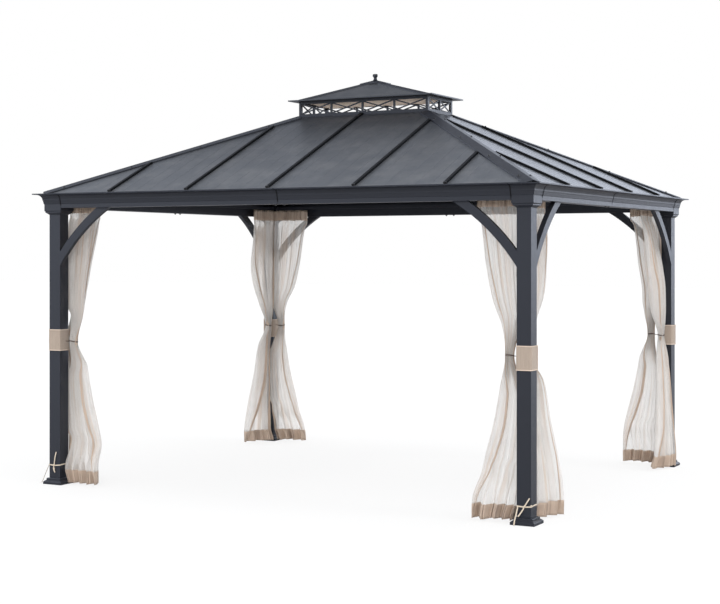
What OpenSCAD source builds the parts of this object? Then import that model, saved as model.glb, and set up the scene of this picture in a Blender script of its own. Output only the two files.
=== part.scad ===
// Hardtop gazebo on four posts, with a moulded cornice, arched knee braces, a hipped roof of
// standing-seam steel, a vented cupola and net curtains tied back at the corners.
// Millimetres, +Z up, ground at z = 0, origin at the middle of the plan, long side along X.

/* [Plan and heights] */
// Length of the roof from lip to lip
roof_l = 3658; // [3000:1:4600]
// Width of the roof from lip to lip
roof_w = 3048; // [2600:1:3800]
// Clear height from the ground to the underside of the fascia
clear_h = 1869; // [1500:1:2400]
// Distance from the roof lip to the centre line of the posts
post_inset = 128; // [118:1:170]

/* [Posts and feet] */
// Width of a square post
post_w = 89; // [70:1:100]
// How far a post reaches up into its capital, above the underside of the fascia
post_into_cap = 60; // [30:1:80]
// Width of a foot at the ground
foot_w = 150; // [126:1:170]
// Height of a foot
foot_h = 40; // [30:1:70]
// Thickness of the sole plate under a post
sole_t = 3; // [2:0.5:6]
// Width of the collar at the top of a foot
foot_collar_w = 118; // [112:1:122]

/* [Cornice] */
// Height of the fascia
fascia_h = 97; // [90:1:130]
// Thickness of the folded fascia sheet
fascia_t = 2.5; // [1.5:0.5:4]
// Setback of the plain frieze from the lip
frieze_inset = 59; // [56:1:66]
// Thickness of the projecting lip
lip_t = 7; // [5:1:12]
// Width of the flat underside of the lip
lip_flat = 20; // [12:1:26]
// Height of the cove under the lip
cove_h = 37; // [25:1:44]
// Height of the plain frieze below its groove
frieze_h = 26; // [18:1:32]
// Depth of a capital below the fascia
capital_h = 45; // [36:1:70]
// Gap at a joint between two cornice pieces
joint_gap = 3; // [1:0.2:3]
// Shift of the joint at mid side, off the middle
joint_shift = 70; // [0:1:200]

/* [Beams, rails and braces] */
// Width of a roof beam
beam_w = 40; // [30:1:60]
// Height of a curtain rail
rail_h = 20; // [14:1:26]
// Width of a curtain rail
rail_d = 20; // [12:1:26]
// Distance from a capital to the curtain rail that passes it
rail_clear = 9; // [7:1:20]
// Height of the underside of a curtain rail above the underside of the fascia
rail_up = 58; // [10:1:70]
// Distance from a post or foot to the edge of its curtain
curtain_clear = 9; // [6:1:40]
// Reach of a brace along the beam, from the post centre to its own centre line
brace_reach = 402; // [330:1:520]
// Drop of a brace down the post, from the beam to its own centre line
brace_drop = 340; // [260:1:450]
// Rise of the arc of a brace above its chord
brace_bow = 24; // [8:1:50]
// Width of a brace seen from the side
brace_w = 53; // [36:1:70]
// Thickness of a brace
brace_t = 32; // [24:1:40]

/* [Main roof] */
// Slope of the main roof
roof_pitch = 23.9; // [18:0.1:30]
// Thickness of a roof sheet
sheet_t = 4; // [2:0.5:6]
// Setback of the edge of the sheets from the lip
eave_inset = 55; // [45:1:70]
// Space left between the sheets at a hip, on each side, under the hip cap
hip_gap = 8; // [4:1:14]
// Spacing of the standing seams
seam_pitch = 610; // [450:1:800]
// Least width of the end panel beside a hip
seam_end_min = 250; // [150:1:300]
// Width of a standing seam
seam_w = 18; // [12:1:30]
// Height of a standing seam
seam_h = 15; // [10:1:25]
// Width of each flank of a hip cap
hip_cap_w = 58; // [40:1:80]
// Height of a hip cap above the sheets
hip_cap_h = 10; // [7:1:16]
// Thickness of the hip cap metal
hip_cap_t = 3; // [2:0.5:4]
// Width of a hip rafter
rafter_w = 36; // [30:1:60]
// Depth of a hip rafter
rafter_h = 34; // [30:1:60]

/* [Cupola] */
// Width of the cupola frame along the short side
cupola_w = 404; // [340:1:520]
// Height of the lattice, with its rails
lattice_h = 107; // [80:1:160]
// Width of the rails of the lattice
rail_w = 18; // [12:1:24]
// Thickness of the lattice frame
lattice_t = 16; // [10:1:22]
// Width of the posts between the bays
bay_post_w = 12; // [8:1:20]
// Width of the crossed bars
cross_w = 9; // [6:1:14]
// Thickness of the crossed bars
cross_t = 6; // [4:1:10]
// Number of bays on a long side
bays_long = 4; // [2:1:6]
// Number of bays on a short side
bays_short = 2; // [1:1:3]
// Depth of the curb under the lattice
curb_h = 34; // [26:1:60]
// Thickness of the curb
curb_t = 25; // [18:1:40]
// Overhang of the top roof past the cupola frame
top_over = 58; // [40:1:90]
// Width of the flat eave of the top roof
top_flat = 50; // [30:1:56]
// Thickness of the flat eave of the top roof
top_eave_t = 8; // [5:1:14]
// Rise of the top roof above its flat eave
top_rise = 132; // [90:1:200]
// Thickness of the top roof sheet, measured upright
top_sheet_t = 5; // [3:0.5:8]
// Share of the top roof that the apex cap covers
apex_share = 0.2; // [0.17:0.005:0.25]
// Thickness of the apex cap, measured upright
apex_t = 5; // [2:0.5:5]
// Radius of the neck of the finial
neck_r = 11; // [8:0.5:14]
// Height of the neck of the finial
neck_h = 18; // [10:1:30]
// Radius of the lobed knob on top
knob_r = 20; // [14:0.5:28]
// Height of the lobed knob
knob_h = 28; // [16:1:40]
// Thickness of the net under the top roof
net_t = 3; // [2:0.5:6]
// How far the middle of the vent net hangs down
net_sag = 30; // [0:1:45]

/* [Curtains and ties] */
// Height of the curtain hem above the ground
hem_z = 12; // [8:1:40]
// Height of the middle of the tied waist of a curtain
waist_z = 965; // [800:1:1100]
// Height of a cuff round a post
cuff_h = 138; // [100:1:180]
// Thickness of a cuff
cuff_t = 5; // [3:0.5:8]
// Clearance between a soft piece and what it touches
soft_gap = 0.3; // [0.2:0.1:0.6]
// Width of the tie tapes
tape_w = 8; // [6:1:12]

/* [Hidden] */

coat = "#3a3e46";       // charcoal powder coat
coat_roof = "#565b62";  // the greyer coat of the sheets
cloth = "#b9a795";      // khaki binding
net = "#d6d0c8";        // off-white net

// Corners in order: front left, front right, back right, back left
CORNER = [[-1, -1], [1, -1], [1, 1], [-1, 1]];
post_x = roof_l / 2 - post_inset;
post_y = roof_w / 2 - post_inset;
cap_half = post_inset - frieze_inset;          // half the width of a capital
eave_z = clear_h + fascia_h;                   // top of the cornice lip
eave_out = [roof_w / 2 - eave_inset, roof_l / 2 - eave_inset];   // eave line of a long, a short side
cupola_l = cupola_w + roof_l - roof_w;         // keeps the hips at 45 degrees in plan
cupola_half = [cupola_l / 2, cupola_w / 2];
roof_run = eave_out[0] - cupola_w / 2;         // horizontal run of every slope
roof_rise = roof_run * tan(roof_pitch);
sheet_up = sheet_t / cos(roof_pitch);          // sheet thickness measured upright
lattice_z = eave_z + sheet_up + roof_rise + 3; // underside of the lattice
top_z = lattice_z + lattice_h;                 // underside of the top roof
top_half = cupola_half + [top_over, top_over];
pyramid_half = top_half - [top_flat, top_flat];
pyramid_z = top_z + top_eave_t;
hip_angle = atan(tan(roof_pitch) / sqrt(2));   // slope of the hip line
hip_drop = asin(sin(roof_pitch) / sqrt(2));    // fall of the sheets either side of a hip
near_foot = foot_w / 2 + curtain_clear;        // from the post centre to a curtain hem
near_post = post_w / 2 + 7.5;                  // and to the curtain higher up
rail_in = cap_half + rail_clear;               // from the line of the posts in to the rails
FAR = 6000;                                    // longer than anything cut

function side_lip(k) = k % 2 == 0 ? roof_w / 2 : roof_l / 2;
function side_post(k) = k % 2 == 0 ? post_x : post_y;      // half the post spacing along side k
function side_out(k) = k % 2 == 0 ? post_y : post_x;       // from the middle to the post line of side k

// Sides in order: front, right, back, left. The children see the outside at -Y.
module on_side(k) { rotate([0, 0, 90 * k]) children(); }

// The children see the outside of the corner at +X and +Y, with the post centre at the origin.
module at_corner(i) {
    translate([CORNER[i][0] * post_x, CORNER[i][1] * post_y, 0])
        mirror([CORNER[i][0] < 0 ? 1 : 0, 0, 0])
            mirror([0, CORNER[i][1] < 0 ? 1 : 0, 0])
                children();
}

// A square block whose four sides all follow one outline of [half width, height] points
module square_turned(right, left) {
    outline = concat(right, [for (j = [len(left) - 1 : -1 : 0]) [-left[j][0], left[j][1]]]);
    intersection() {
        rotate([90, 0, 0]) translate([0, 0, -FAR / 2]) linear_extrude(FAR) polygon(outline);
        rotate([90, 0, 90]) translate([0, 0, -FAR / 2]) linear_extrude(FAR) polygon(outline);
    }
}

// ---- posts and feet ----

module post(i) {
    color(coat) at_corner(i)
        translate([-post_w / 2, -post_w / 2, sole_t])
            cube([post_w, post_w, clear_h + post_into_cap - sole_t]);
}

module foot(i) {
    w = foot_w / 2;
    c = foot_collar_w / 2;
    steps = [[w, 0], [w, foot_h * 0.38], [w - 4, foot_h * 0.48], [c + 5, foot_h * 0.62],
        [c, foot_h * 0.68], [c, foot_h * 0.92], [c - 3, foot_h]];
    color(coat) at_corner(i) difference() {
        square_turned(steps, steps);
        translate([-post_w / 2, -post_w / 2, sole_t]) cube([post_w, post_w, foot_h]);
    }
}

// ---- cornice ----

// Outer line of the cornice from the lip down to the frieze, as [reach from the post line,
// height above the underside of the fascia]
cove_x = post_inset - lip_flat;
cove_top = fascia_h - lip_t - 1;
cove_w = cove_x - cap_half - 9;
cove_low = cove_top - cove_h;
function cornice_line() = concat(
    [[post_inset, fascia_h], [post_inset, fascia_h - lip_t]],
    [for (a = [90 : 15 : 180]) [cove_x + cove_w * cos(a), cove_low + cove_h * sin(a)]],
    [[cap_half + 7, cove_low - 2], [cap_half + 3, frieze_h + 2], [cap_half, frieze_h]]);

// Outline of a capital below the fascia
function capital_line() = [
    [cap_half, -0.4 * capital_h], [cap_half - 3, -0.5 * capital_h], [cap_half - 6, -0.52 * capital_h],
    [cap_half - 5, -0.6 * capital_h], [cap_half - 5, -0.7 * capital_h],
    [cap_half - 9, -0.72 * capital_h], [post_w / 2 + 8, -0.86 * capital_h],
    [post_w / 2 + 0.5, -capital_h]];

module capital(i) {
    right = concat(cornice_line(), capital_line());
    left = concat([[cap_half, fascia_h]], capital_line());
    color(coat) at_corner(i) translate([0, 0, clear_h]) difference() {
        square_turned(right, left);
        translate([-post_w / 2, -post_w / 2, -capital_h - 1])
            cube([post_w, post_w, capital_h + 1 + post_into_cap]);
    }
}

// A folded sheet that follows the cornice, open at the back where it meets the beam
module fascia_strip(length) {
    outer = cornice_line();
    inner = [for (p = outer) [p[0] - fascia_t, min(p[1], fascia_h - lip_t / 2)]];
    back = beam_w / 2;
    sheet = concat([[back, fascia_h]], outer, [[cap_half, 0], [back, 0], [back, fascia_t]],
        [[cap_half - fascia_t, fascia_t]], [for (j = [len(inner) - 1 : -1 : 2]) inner[j]],
        [[cove_x - fascia_t, fascia_h - lip_t / 2], [back, fascia_h - lip_t / 2]]);
    rotate([90, 0, 90]) linear_extrude(length) polygon([for (p = sheet) [-p[0], p[1]]]);
}

module fascia(k) {
    end = side_post(k) - cap_half - joint_gap;
    middle = (k % 2 == 0 ? 1 : -1) * joint_shift;
    for (piece = [[-end, middle - joint_gap / 2], [middle + joint_gap / 2, end]])
        color(coat) on_side(k)
            translate([piece[0], -side_out(k), clear_h]) fascia_strip(piece[1] - piece[0]);
}

// ---- beams, rails and braces ----

module beam(k) {
    half = side_post(k) - cap_half;
    color(coat) on_side(k)
        translate([-half, -side_out(k) - beam_w / 2, clear_h]) cube([2 * half, beam_w, fascia_h]);
}

// The long rails run from one side beam to the other, and the short ones between the long rails
module curtain_rail(k) {
    half = side_post(k) - (k % 2 == 0 ? beam_w / 2 : rail_in + rail_d) - soft_gap;
    color(coat) on_side(k)
        translate([-half, -side_out(k) + rail_in, clear_h + rail_up])
            cube([2 * half, rail_d, rail_h]);
}

// An arched bar in the plane of a side: +X runs along the beam, +Y is up, the post centre is x = 0
// and the underside of the beam is y = 0
module brace_outline() {
    from = [post_w / 2, -brace_drop];
    to = [brace_reach, 0];
    chord = norm(to - from);
    radius = (chord * chord / 4 + brace_bow * brace_bow) / (2 * brace_bow);
    lean = atan2(to[1] - from[1], to[0] - from[0]);
    centre = (from + to) / 2 + (radius - brace_bow) * [sin(lean), -cos(lean)];
    intersection() {
        translate(centre) difference() {
            circle(r = radius + brace_w / 2, $fn = 180);
            circle(r = radius - brace_w / 2, $fn = 180);
        }
        polygon([[post_w / 2, 0], [post_w / 2, -brace_drop - brace_w * 2],
            [brace_reach + brace_w * 2, -brace_drop - brace_w * 2], [brace_reach + brace_w * 2, 0]]);
        polygon([[post_w / 2, 0], from + brace_w * [0, -1.4], to + brace_w * [1.4, 0]]);
    }
}

// The braces lie flush with the outer faces of the post
module braces(i) {
    color(coat) at_corner(i) translate([0, 0, clear_h]) {
        rotate([90, 0, 180]) translate([0, 0, post_w / 2 - brace_t])
            linear_extrude(brace_t) brace_outline();
        rotate([90, 0, -90]) translate([0, 0, -post_w / 2])
            linear_extrude(brace_t) brace_outline();
    }
}

// ---- main roof ----

// The children lie on the underside of a slope: +X along the eave, +Y up the slope
module on_slope(k) {
    on_side(k) translate([0, -eave_out[k % 2], eave_z]) rotate([roof_pitch, 0, 0]) children();
}

// Outline of one slope, drawn in by a margin beside the hips
module slope_outline(k, margin) {
    half = eave_out[(k + 1) % 2];
    top = (roof_run - soft_gap) / cos(roof_pitch);
    polygon([[-half + margin, 0], [half - margin, 0],
        [half - roof_run - margin, top], [-half + roof_run + margin, top]]);
}

module roof_sheet(k) {
    color(coat_roof) on_slope(k) linear_extrude(sheet_t) slope_outline(k, hip_gap);
}

module seams(k) {
    eave = 2 * eave_out[(k + 1) % 2];
    count = floor((eave - 2 * seam_end_min) / seam_pitch) + 1;
    color(coat) on_slope(k) translate([0, 0, sheet_t]) linear_extrude(seam_h) intersection() {
        slope_outline(k, (hip_cap_w + 2) / sin(45));
        for (j = [0 : count - 1])
            translate([(j - (count - 1) / 2) * seam_pitch - seam_w / 2, 0]) square([seam_w, FAR]);
    }
}

// The children's profile, x across the hip and y up from it, runs up each hip from the eave
module along_hips(start) {
    for (c = CORNER)
        difference() {
            translate([c[0] * eave_out[1], c[1] * eave_out[0], eave_z + sheet_up])
                rotate([0, 0, atan2(-c[1], -c[0])]) rotate([0, -hip_angle, 0])
                    translate([start, 0, 0]) rotate([90, 0, 90])
                        linear_extrude(roof_run * sqrt(2) / cos(hip_angle) - start) children();
            translate([-cupola_half[0] - soft_gap, -cupola_half[1] - soft_gap, 0])
                cube([cupola_l + 2 * soft_gap, cupola_w + 2 * soft_gap, FAR]);
        }
}

module hip_caps() {
    w = hip_cap_w;
    t = hip_cap_t;
    fall = tan(hip_drop);
    function over(x, up) = [x, up - abs(x) * fall];
    color(coat) difference() {
        along_hips(2) polygon([over(-w, soft_gap), over(-w, hip_cap_h), over(0, hip_cap_h),
            over(w, hip_cap_h), over(w, soft_gap), over(w - t, soft_gap), over(w - t, hip_cap_h - t),
            over(0, hip_cap_h - t), over(t - w, hip_cap_h - t), over(t - w, soft_gap)]);
        translate([-FAR / 2, -FAR / 2, eave_z + soft_gap - FAR]) cube([FAR, FAR, FAR]);
    }
}

module hip_rafters() {
    w = rafter_w / 2;
    under = sheet_t / cos(hip_drop) + soft_gap;
    fall = tan(hip_drop);
    seat = (post_inset - eave_inset - cap_half + 20) * sqrt(2);
    color(coat) difference() {
        along_hips(seat) polygon([[-w, -under - w * fall], [0, -under], [w, -under - w * fall],
            [w, -under - rafter_h], [-w, -under - rafter_h]]);
        translate([-FAR / 2, -FAR / 2, eave_z - FAR]) cube([FAR, FAR, FAR]);
    }
}

// ---- cupola ----

module cupola_curb() {
    color(coat) translate([0, 0, lattice_z - curb_h]) difference() {
        translate([-cupola_half[0], -cupola_half[1], 0]) cube([cupola_l, cupola_w, curb_h]);
        translate([curb_t - cupola_half[0], curb_t - cupola_half[1], -1])
            cube([cupola_l - 2 * curb_t, cupola_w - 2 * curb_t, curb_h + 2]);
    }
}

// One side of the lattice in the XZ plane: rails, posts and a crossed pair of bars in each bay
module lattice_panel(length, bays, end_w) {
    open_h = lattice_h - 2 * rail_w;
    bay = (length - 2 * end_w + bay_post_w) / bays;
    rotate([90, 0, 0]) {
        for (z = [0, lattice_h - rail_w])
            translate([-length / 2, z, -lattice_t / 2]) cube([length, rail_w, lattice_t]);
        for (x = [-length / 2, length / 2 - end_w])
            translate([x, 0, -lattice_t / 2]) cube([end_w, lattice_h, lattice_t]);
        for (j = [0 : bays - 1]) {
            left = -length / 2 + end_w + j * bay;
            bay_open = bay - bay_post_w;
            lean = atan2(open_h, bay_open);
            if (j > 0)
                translate([left - bay_post_w, 0, -lattice_t / 2])
                    cube([bay_post_w, lattice_h, lattice_t]);
            intersection() {
                translate([left - 1, rail_w - 1, -lattice_t / 2])
                    cube([bay_open + 2, open_h + 2, lattice_t]);
                translate([left + bay_open / 2, lattice_h / 2, 0]) union() {
                    for (turn = [lean, -lean])
                        rotate([0, 0, turn]) cube([bay_open * 1.3, cross_w, cross_t], center = true);
                }
            }
        }
    }
}

module cupola_lattice() {
    color(coat) translate([0, 0, lattice_z]) {
        for (s = [-1, 1]) {
            translate([0, s * (cupola_half[1] - lattice_t / 2), 0])
                lattice_panel(cupola_l, bays_long, rail_w);
            translate([s * (cupola_half[0] - lattice_t / 2), 0, 0]) rotate([0, 0, 90])
                lattice_panel(cupola_w - lattice_t, bays_short, rail_w);
        }
    }
}

// The net is fixed along its edges and hangs lower in the middle
module vent_net() {
    x = cupola_half[0] - lattice_t - soft_gap;
    y = cupola_half[1] - lattice_t - soft_gap;
    top = top_z - soft_gap;
    low = top - net_t - net_sag;
    color(cloth) polyhedron(points = [[-x, -y, top], [x, -y, top], [x, y, top], [-x, y, top],
            [-x, -y, top - net_t], [x, -y, top - net_t], [x, y, top - net_t], [-x, y, top - net_t],
            [-0.8 * x, -0.45 * y, low], [0.8 * x, -0.45 * y, low], [0.8 * x, 0.45 * y, low],
            [-0.8 * x, 0.45 * y, low]],
        faces = [[3, 2, 1, 0], [0, 1, 5, 4], [1, 2, 6, 5], [2, 3, 7, 6], [3, 0, 4, 7],
            [4, 5, 9, 8], [5, 6, 10, 9], [6, 7, 11, 10], [7, 4, 8, 11], [8, 9, 10, 11]]);
}

// A pyramid over the cupola, its surface raised by up
module pyramid(up) {
    x = pyramid_half[0];
    y = pyramid_half[1];
    polyhedron(points = [[-x, -y, up], [x, -y, up], [x, y, up], [-x, y, up], [0, 0, up + top_rise],
            [-x, -y, -top_eave_t], [x, -y, -top_eave_t], [x, y, -top_eave_t], [-x, y, -top_eave_t]],
        faces = [[1, 0, 4], [2, 1, 4], [3, 2, 4], [0, 3, 4],
            [0, 1, 6, 5], [1, 2, 7, 6], [2, 3, 8, 7], [3, 0, 5, 8], [5, 6, 7, 8]]);
}

// The hollow stops short of the lattice, so that its flat eave lies on the top rails
module top_roof() {
    seat = cupola_half - [lattice_t + 2, lattice_t + 2];
    color(coat_roof) translate([0, 0, pyramid_z]) difference() {
        union() {
            translate([-top_half[0], -top_half[1], -top_eave_t])
                cube([2 * top_half[0], 2 * top_half[1], top_eave_t]);
            pyramid(0);
        }
        intersection() {
            translate([0, 0, -top_sheet_t]) pyramid(0);
            translate([-seat[0], -seat[1], -FAR / 2]) cube([2 * seat[0], 2 * seat[1], FAR]);
        }
    }
}

// A bent strip over one hip of the top roof, from share 1 at the eave up to the apex cap
top_cap_along = [60, 28];   // width of the strip along the long and the short side
top_cap_t = 5;              // thickness of the strip, measured upright
module top_hip_caps() {
    w = top_cap_along;
    x = pyramid_half[0];
    y = pyramid_half[1];
    function ring(share) = let (z = top_rise * (1 - share))
        [for (up = [soft_gap, soft_gap + top_cap_t]) each
            [[x * share - w[0], y * share, z + up], [x * share, y * share, z + up],
                [x * share, y * share - w[1], z + up]]];
    color(coat) for (c = CORNER)
        translate([0, 0, pyramid_z]) mirror([c[0] < 0 ? 1 : 0, 0, 0]) mirror([0, c[1] < 0 ? 1 : 0, 0])
            polyhedron(points = concat(ring(1), ring(apex_share - 0.04)),
                faces = [[0, 1, 4, 3], [1, 2, 5, 4], [1, 0, 6, 7], [2, 1, 7, 8], [3, 4, 10, 9],
                    [4, 5, 11, 10], [0, 3, 9, 6], [5, 2, 8, 11], [7, 6, 9, 10], [8, 7, 10, 11]]);
}

apex_up = soft_gap + top_cap_t + soft_gap;   // underside of the apex cap above the top roof
finial_z = pyramid_z + top_rise + apex_up + apex_t - top_rise * 0.03;

module apex_cap() {
    x = pyramid_half[0] * apex_share;
    y = pyramid_half[1] * apex_share;
    color(coat) difference() {
        intersection() {
            translate([0, 0, pyramid_z + apex_up + apex_t]) pyramid(0);
            translate([-x, -y, pyramid_z]) cube([2 * x, 2 * y, finial_z - pyramid_z]);
        }
        translate([0, 0, pyramid_z + apex_up]) pyramid(0);
    }
}

// A lobed knob on a round neck
module finial() {
    lobes = 5;
    lobe_r = knob_r * 0.4;
    color(coat) translate([0, 0, finial_z]) {
        cylinder(r = neck_r, h = neck_h, $fn = 48);
        translate([0, 0, neck_h]) {
            cylinder(r = knob_r * 0.8, h = knob_h, $fn = 48);
            for (a = [0 : 360 / lobes : 359])
                rotate([0, 0, a]) translate([knob_r - lobe_r, 0, knob_h * 0.1])
                    cylinder(r = lobe_r, h = knob_h * 0.7, $fn = 32);
        }
    }
}

// ---- curtains, cuffs and tapes ----

// Height of the underside of each cuff
cuff_z = [907, 889, 897, 872];
module cuffs() {
    inner = post_w / 2 + soft_gap;
    outer = inner + cuff_t;
    color(cloth) for (i = [0 : 3])
        at_corner(i) translate([0, 0, cuff_z[i]]) difference() {
            translate([-outer, -outer, 0]) cube([2 * outer, 2 * outer, cuff_h]);
            translate([-inner, -inner, -1]) cube([2 * inner, 2 * inner, cuff_h + 2]);
        }
}

// How far the headers reach from the post centre, along the long and along the short side, in the
// order of the corners
reach_long = [255, 350, 255, 400];
reach_short = [340, 520, 350, 410];

// Levels of a tied curtain: [height, near edge and far edge along the side from the post centre,
// outer and inner edge across the side from the post line, inwards positive]
curtain_top = clear_h + rail_up - soft_gap;
under_cap = clear_h - capital_h - 10;
in_near = post_w / 2 + 6;
lift = (clear_h - 390 - waist_z) / 514;  // how the levels between the waist and the braces spread
function long_levels(reach) = [
    [hem_z, near_foot, near_foot + 250, -100, near_foot + 5],
    [hem_z + 100, near_post + 4, near_foot + 246, -84, near_foot + 4],
    [hem_z + 290, near_post, near_foot + 220, in_near, in_near + 38],
    [hem_z + 360, 20, near_foot + 204, in_near, in_near + 38],
    [hem_z + 560, 14, near_foot + 150, in_near, in_near + 38],
    [waist_z - 235, 20, near_foot + 118, in_near, in_near + 37],
    [waist_z - 170, near_post, near_foot + 106, in_near, in_near + 37],
    [waist_z, near_foot + 4, near_foot + 54, -2, in_near - 7],
    [waist_z + 190 * lift, near_post, near_foot + 0.3 * (reach - near_foot) + 20, in_near, in_near + 39],
    [waist_z + 235 * lift, 22, near_foot + 0.4 * (reach - near_foot) + 12, in_near, in_near + 39],
    [waist_z + 330 * lift, 22, near_foot + 0.75 * (reach - near_foot) - 45, in_near, in_near + 40],
    [clear_h - 390, 22, near_foot + 0.88 * (reach - near_foot) - 40, in_near, in_near + 41],
    [under_cap - 36, 26, reach - 24, rail_in - 16, rail_in + rail_d],
    [under_cap, 30, reach, rail_in - 4, rail_in + rail_d + 4],
    [curtain_top, 30, reach, rail_in - 4, rail_in + rail_d + 4]];
function short_levels(reach) = [
    [hem_z, near_foot, near_foot + 250, -125, near_foot - 8],
    [hem_z + 100, near_foot, near_foot + 246, -118, near_post - 4],
    [hem_z + 290, near_foot + 8, near_foot + 215, -96, near_post - 4],
    [hem_z + 560, near_foot + 10, near_foot + 150, -66, near_post - 4],
    [waist_z - 170, near_foot + 8, near_foot + 108, -44, near_post - 4],
    [waist_z, near_post + 6, near_post + 56, -2, 44],
    [waist_z + 190 * lift, near_foot + 10, near_foot + 120, -26, in_near + 34],
    [waist_z + 330 * lift, near_foot + 12, near_foot + 0.55 * (reach - near_foot) + 20, -30, in_near + 40],
    [clear_h - 390, near_foot + 14, near_foot + 0.82 * (reach - near_foot), -8, in_near + 41],
    [under_cap - 36, rail_in + rail_d + 5, reach - 6, rail_in - 16, rail_in + rail_d],
    [under_cap, rail_in + rail_d + 9, reach, rail_in - 4, rail_in + rail_d + 4],
    [curtain_top, rail_in + rail_d + 9, reach, rail_in - 4, rail_in + rail_d + 4]];

module tied_curtain(levels) {
    sides = 16;
    function level(l) = [for (j = [0 : sides - 1]) let (a = 360 * j / sides,
        round = 1 / pow(pow(abs(cos(a)), 4) + pow(abs(sin(a)), 4), 0.25))
        [(l[1] + l[2]) / 2 + (l[2] - l[1]) / 2 * round * cos(a),
            (l[3] + l[4]) / 2 + (l[4] - l[3]) / 2 * round * sin(a), l[0]]];
    rings = [for (l = levels) each level(l)];
    top = len(levels) - 1;
    polyhedron(points = rings, faces = concat(
        [[for (j = [0 : sides - 1]) j]],
        [[for (j = [sides - 1 : -1 : 0]) top * sides + j]],
        [for (r = [0 : top - 1]) for (j = [0 : sides - 1]) let (n = (j + 1) % sides)
            [r * sides + n, r * sides + j, (r + 1) * sides + j, (r + 1) * sides + n]]));
}

module curtains(i) {
    color(net) at_corner(i) {
        mirror([1, 0, 0]) mirror([0, 1, 0]) tied_curtain(long_levels(reach_long[i]));
        mirror([1, 0, 0]) mirror([0, 1, 0]) mirror([1, -1, 0])
            tied_curtain(short_levels(reach_short[i]));
    }
}

// Tapes tied round the feet of the two front posts
loop_z = [128, 104];
tape_t = 2;
module tape_loops() {
    inner = post_w / 2 + soft_gap;
    outer = inner + tape_t;
    color(cloth) for (i = [0, 1])
        at_corner(i) translate([0, 0, loop_z[i]]) difference() {
            translate([-outer, -outer, 0]) cube([2 * outer, 2 * outer, tape_w]);
            translate([-inner, -inner, -1]) cube([2 * inner, 2 * inner, tape_w + 2]);
        }
}

// A round-bodied cord along a route of points. No stretch of the route runs along side.
module cord(route, d, side) {
    sides = 8;
    last = len(route) - 1;
    function aim(j) = let (v = route[min(j + 1, last)] - route[max(j - 1, 0)]) v / norm(v);
    rings = [for (j = [0 : last]) let (v = aim(j), w = cross(v, side), s = w / norm(w), u = cross(s, v))
        for (q = [0 : sides - 1]) route[j] + d / 2 * (cos(45 * q) * s + sin(45 * q) * u)];
    polyhedron(points = rings, faces = concat(
        [[for (q = [0 : sides - 1]) q]],
        [[for (q = [sides - 1 : -1 : 0]) last * sides + q]],
        [for (j = [0 : last - 1]) for (q = [0 : sides - 1]) let (n = (q + 1) % sides)
            [j * sides + n, j * sides + q, (j + 1) * sides + q, (j + 1) * sides + n]]));
}

// Routes of the loose ends of the tapes, from the centre of their post
end_right_a = [[4, -51.1, 108], [1, -51.6, 100], [-1, -53, 92], [-6, -55, 84], [-12, -58, 74], [-18, -62, 64],
    [-23, -66, 56], [-28, -69, 50]];
end_right_b = [[-36, -51.1, 108], [-36, -51.8, 99], [-37, -54, 90], [-39, -58, 78], [-40, -63, 64], [-41, -70, 50],
    [-42, -77, 38], [-43, -82, 26], [-43, -86, 15], [-42, -92, 7], [-39, -100, 5], [-35, -109, 5],
    [-31, -118, 5]];
end_left = [[-51.1, -40, 132], [-52.5, -40, 124], [-57, -41, 114], [-63, -42, 102], [-69, -43, 88], [-76, -44, 74],
    [-83, -45, 58], [-90, -46, 42], [-97, -47, 26], [-104, -47, 12], [-112, -47, 6], [-121, -47, 5]];

module tape_end(i, route, side) {
    color(cloth) translate([CORNER[i][0] * post_x, CORNER[i][1] * post_y, 0])
        cord(route, tape_w, side);
}

post(0);  // post_front_left
post(1);  // post_front_right
post(2);  // post_back_right
post(3);  // post_back_left
foot(0);  // foot_front_left
foot(1);  // foot_front_right
foot(2);  // foot_back_right
foot(3);  // foot_back_left
capital(0);  // capital_front_left
capital(1);  // capital_front_right
capital(2);  // capital_back_right
capital(3);  // capital_back_left
fascia(0);  // fascia_front
fascia(1);  // fascia_right
fascia(2);  // fascia_back
fascia(3);  // fascia_left
beam(0);  // beam_front
beam(1);  // beam_right
beam(2);  // beam_back
beam(3);  // beam_left
braces(0);  // braces_front_left
braces(1);  // braces_front_right
braces(2);  // braces_back_right
braces(3);  // braces_back_left
roof_sheet(0);  // roof_front
roof_sheet(1);  // roof_right
roof_sheet(2);  // roof_back
roof_sheet(3);  // roof_left
seams(0);  // seams_front
seams(1);  // seams_right
seams(2);  // seams_back
seams(3);  // seams_left
hip_caps();
hip_rafters();
for (k = [0 : 3]) curtain_rail(k);  // curtain_rails
cupola_curb();
cupola_lattice();
vent_net();
top_roof();
top_hip_caps();
apex_cap();
finial();
cuffs();
curtains(0);  // curtains_front_left
curtains(1);  // curtains_front_right
curtains(2);  // curtains_back_right
curtains(3);  // curtains_back_left
tape_loops();
tape_end(1, end_right_a, [1, 0, 0]);  // tape_end_right_a
tape_end(1, end_right_b, [1, 0, 0]);  // tape_end_right_b
tape_end(0, end_left, [0, 1, 0]);  // tape_end_left
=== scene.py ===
"""Visual model of a hardtop gazebo, built around its CAD frame.

The metal keeps its CAD shape and gets its coats here. The soft pieces and the small fittings are
made here: the net curtains with their ties and hooks, the cuffs, the tapes, the vent net, the
finial, the ribs of the roof sheets, the tabs and screws of the roof, and the bolts of the
cornice's joints, with dark strips along those joints that paint the shadow of their gaps.
"""

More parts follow.
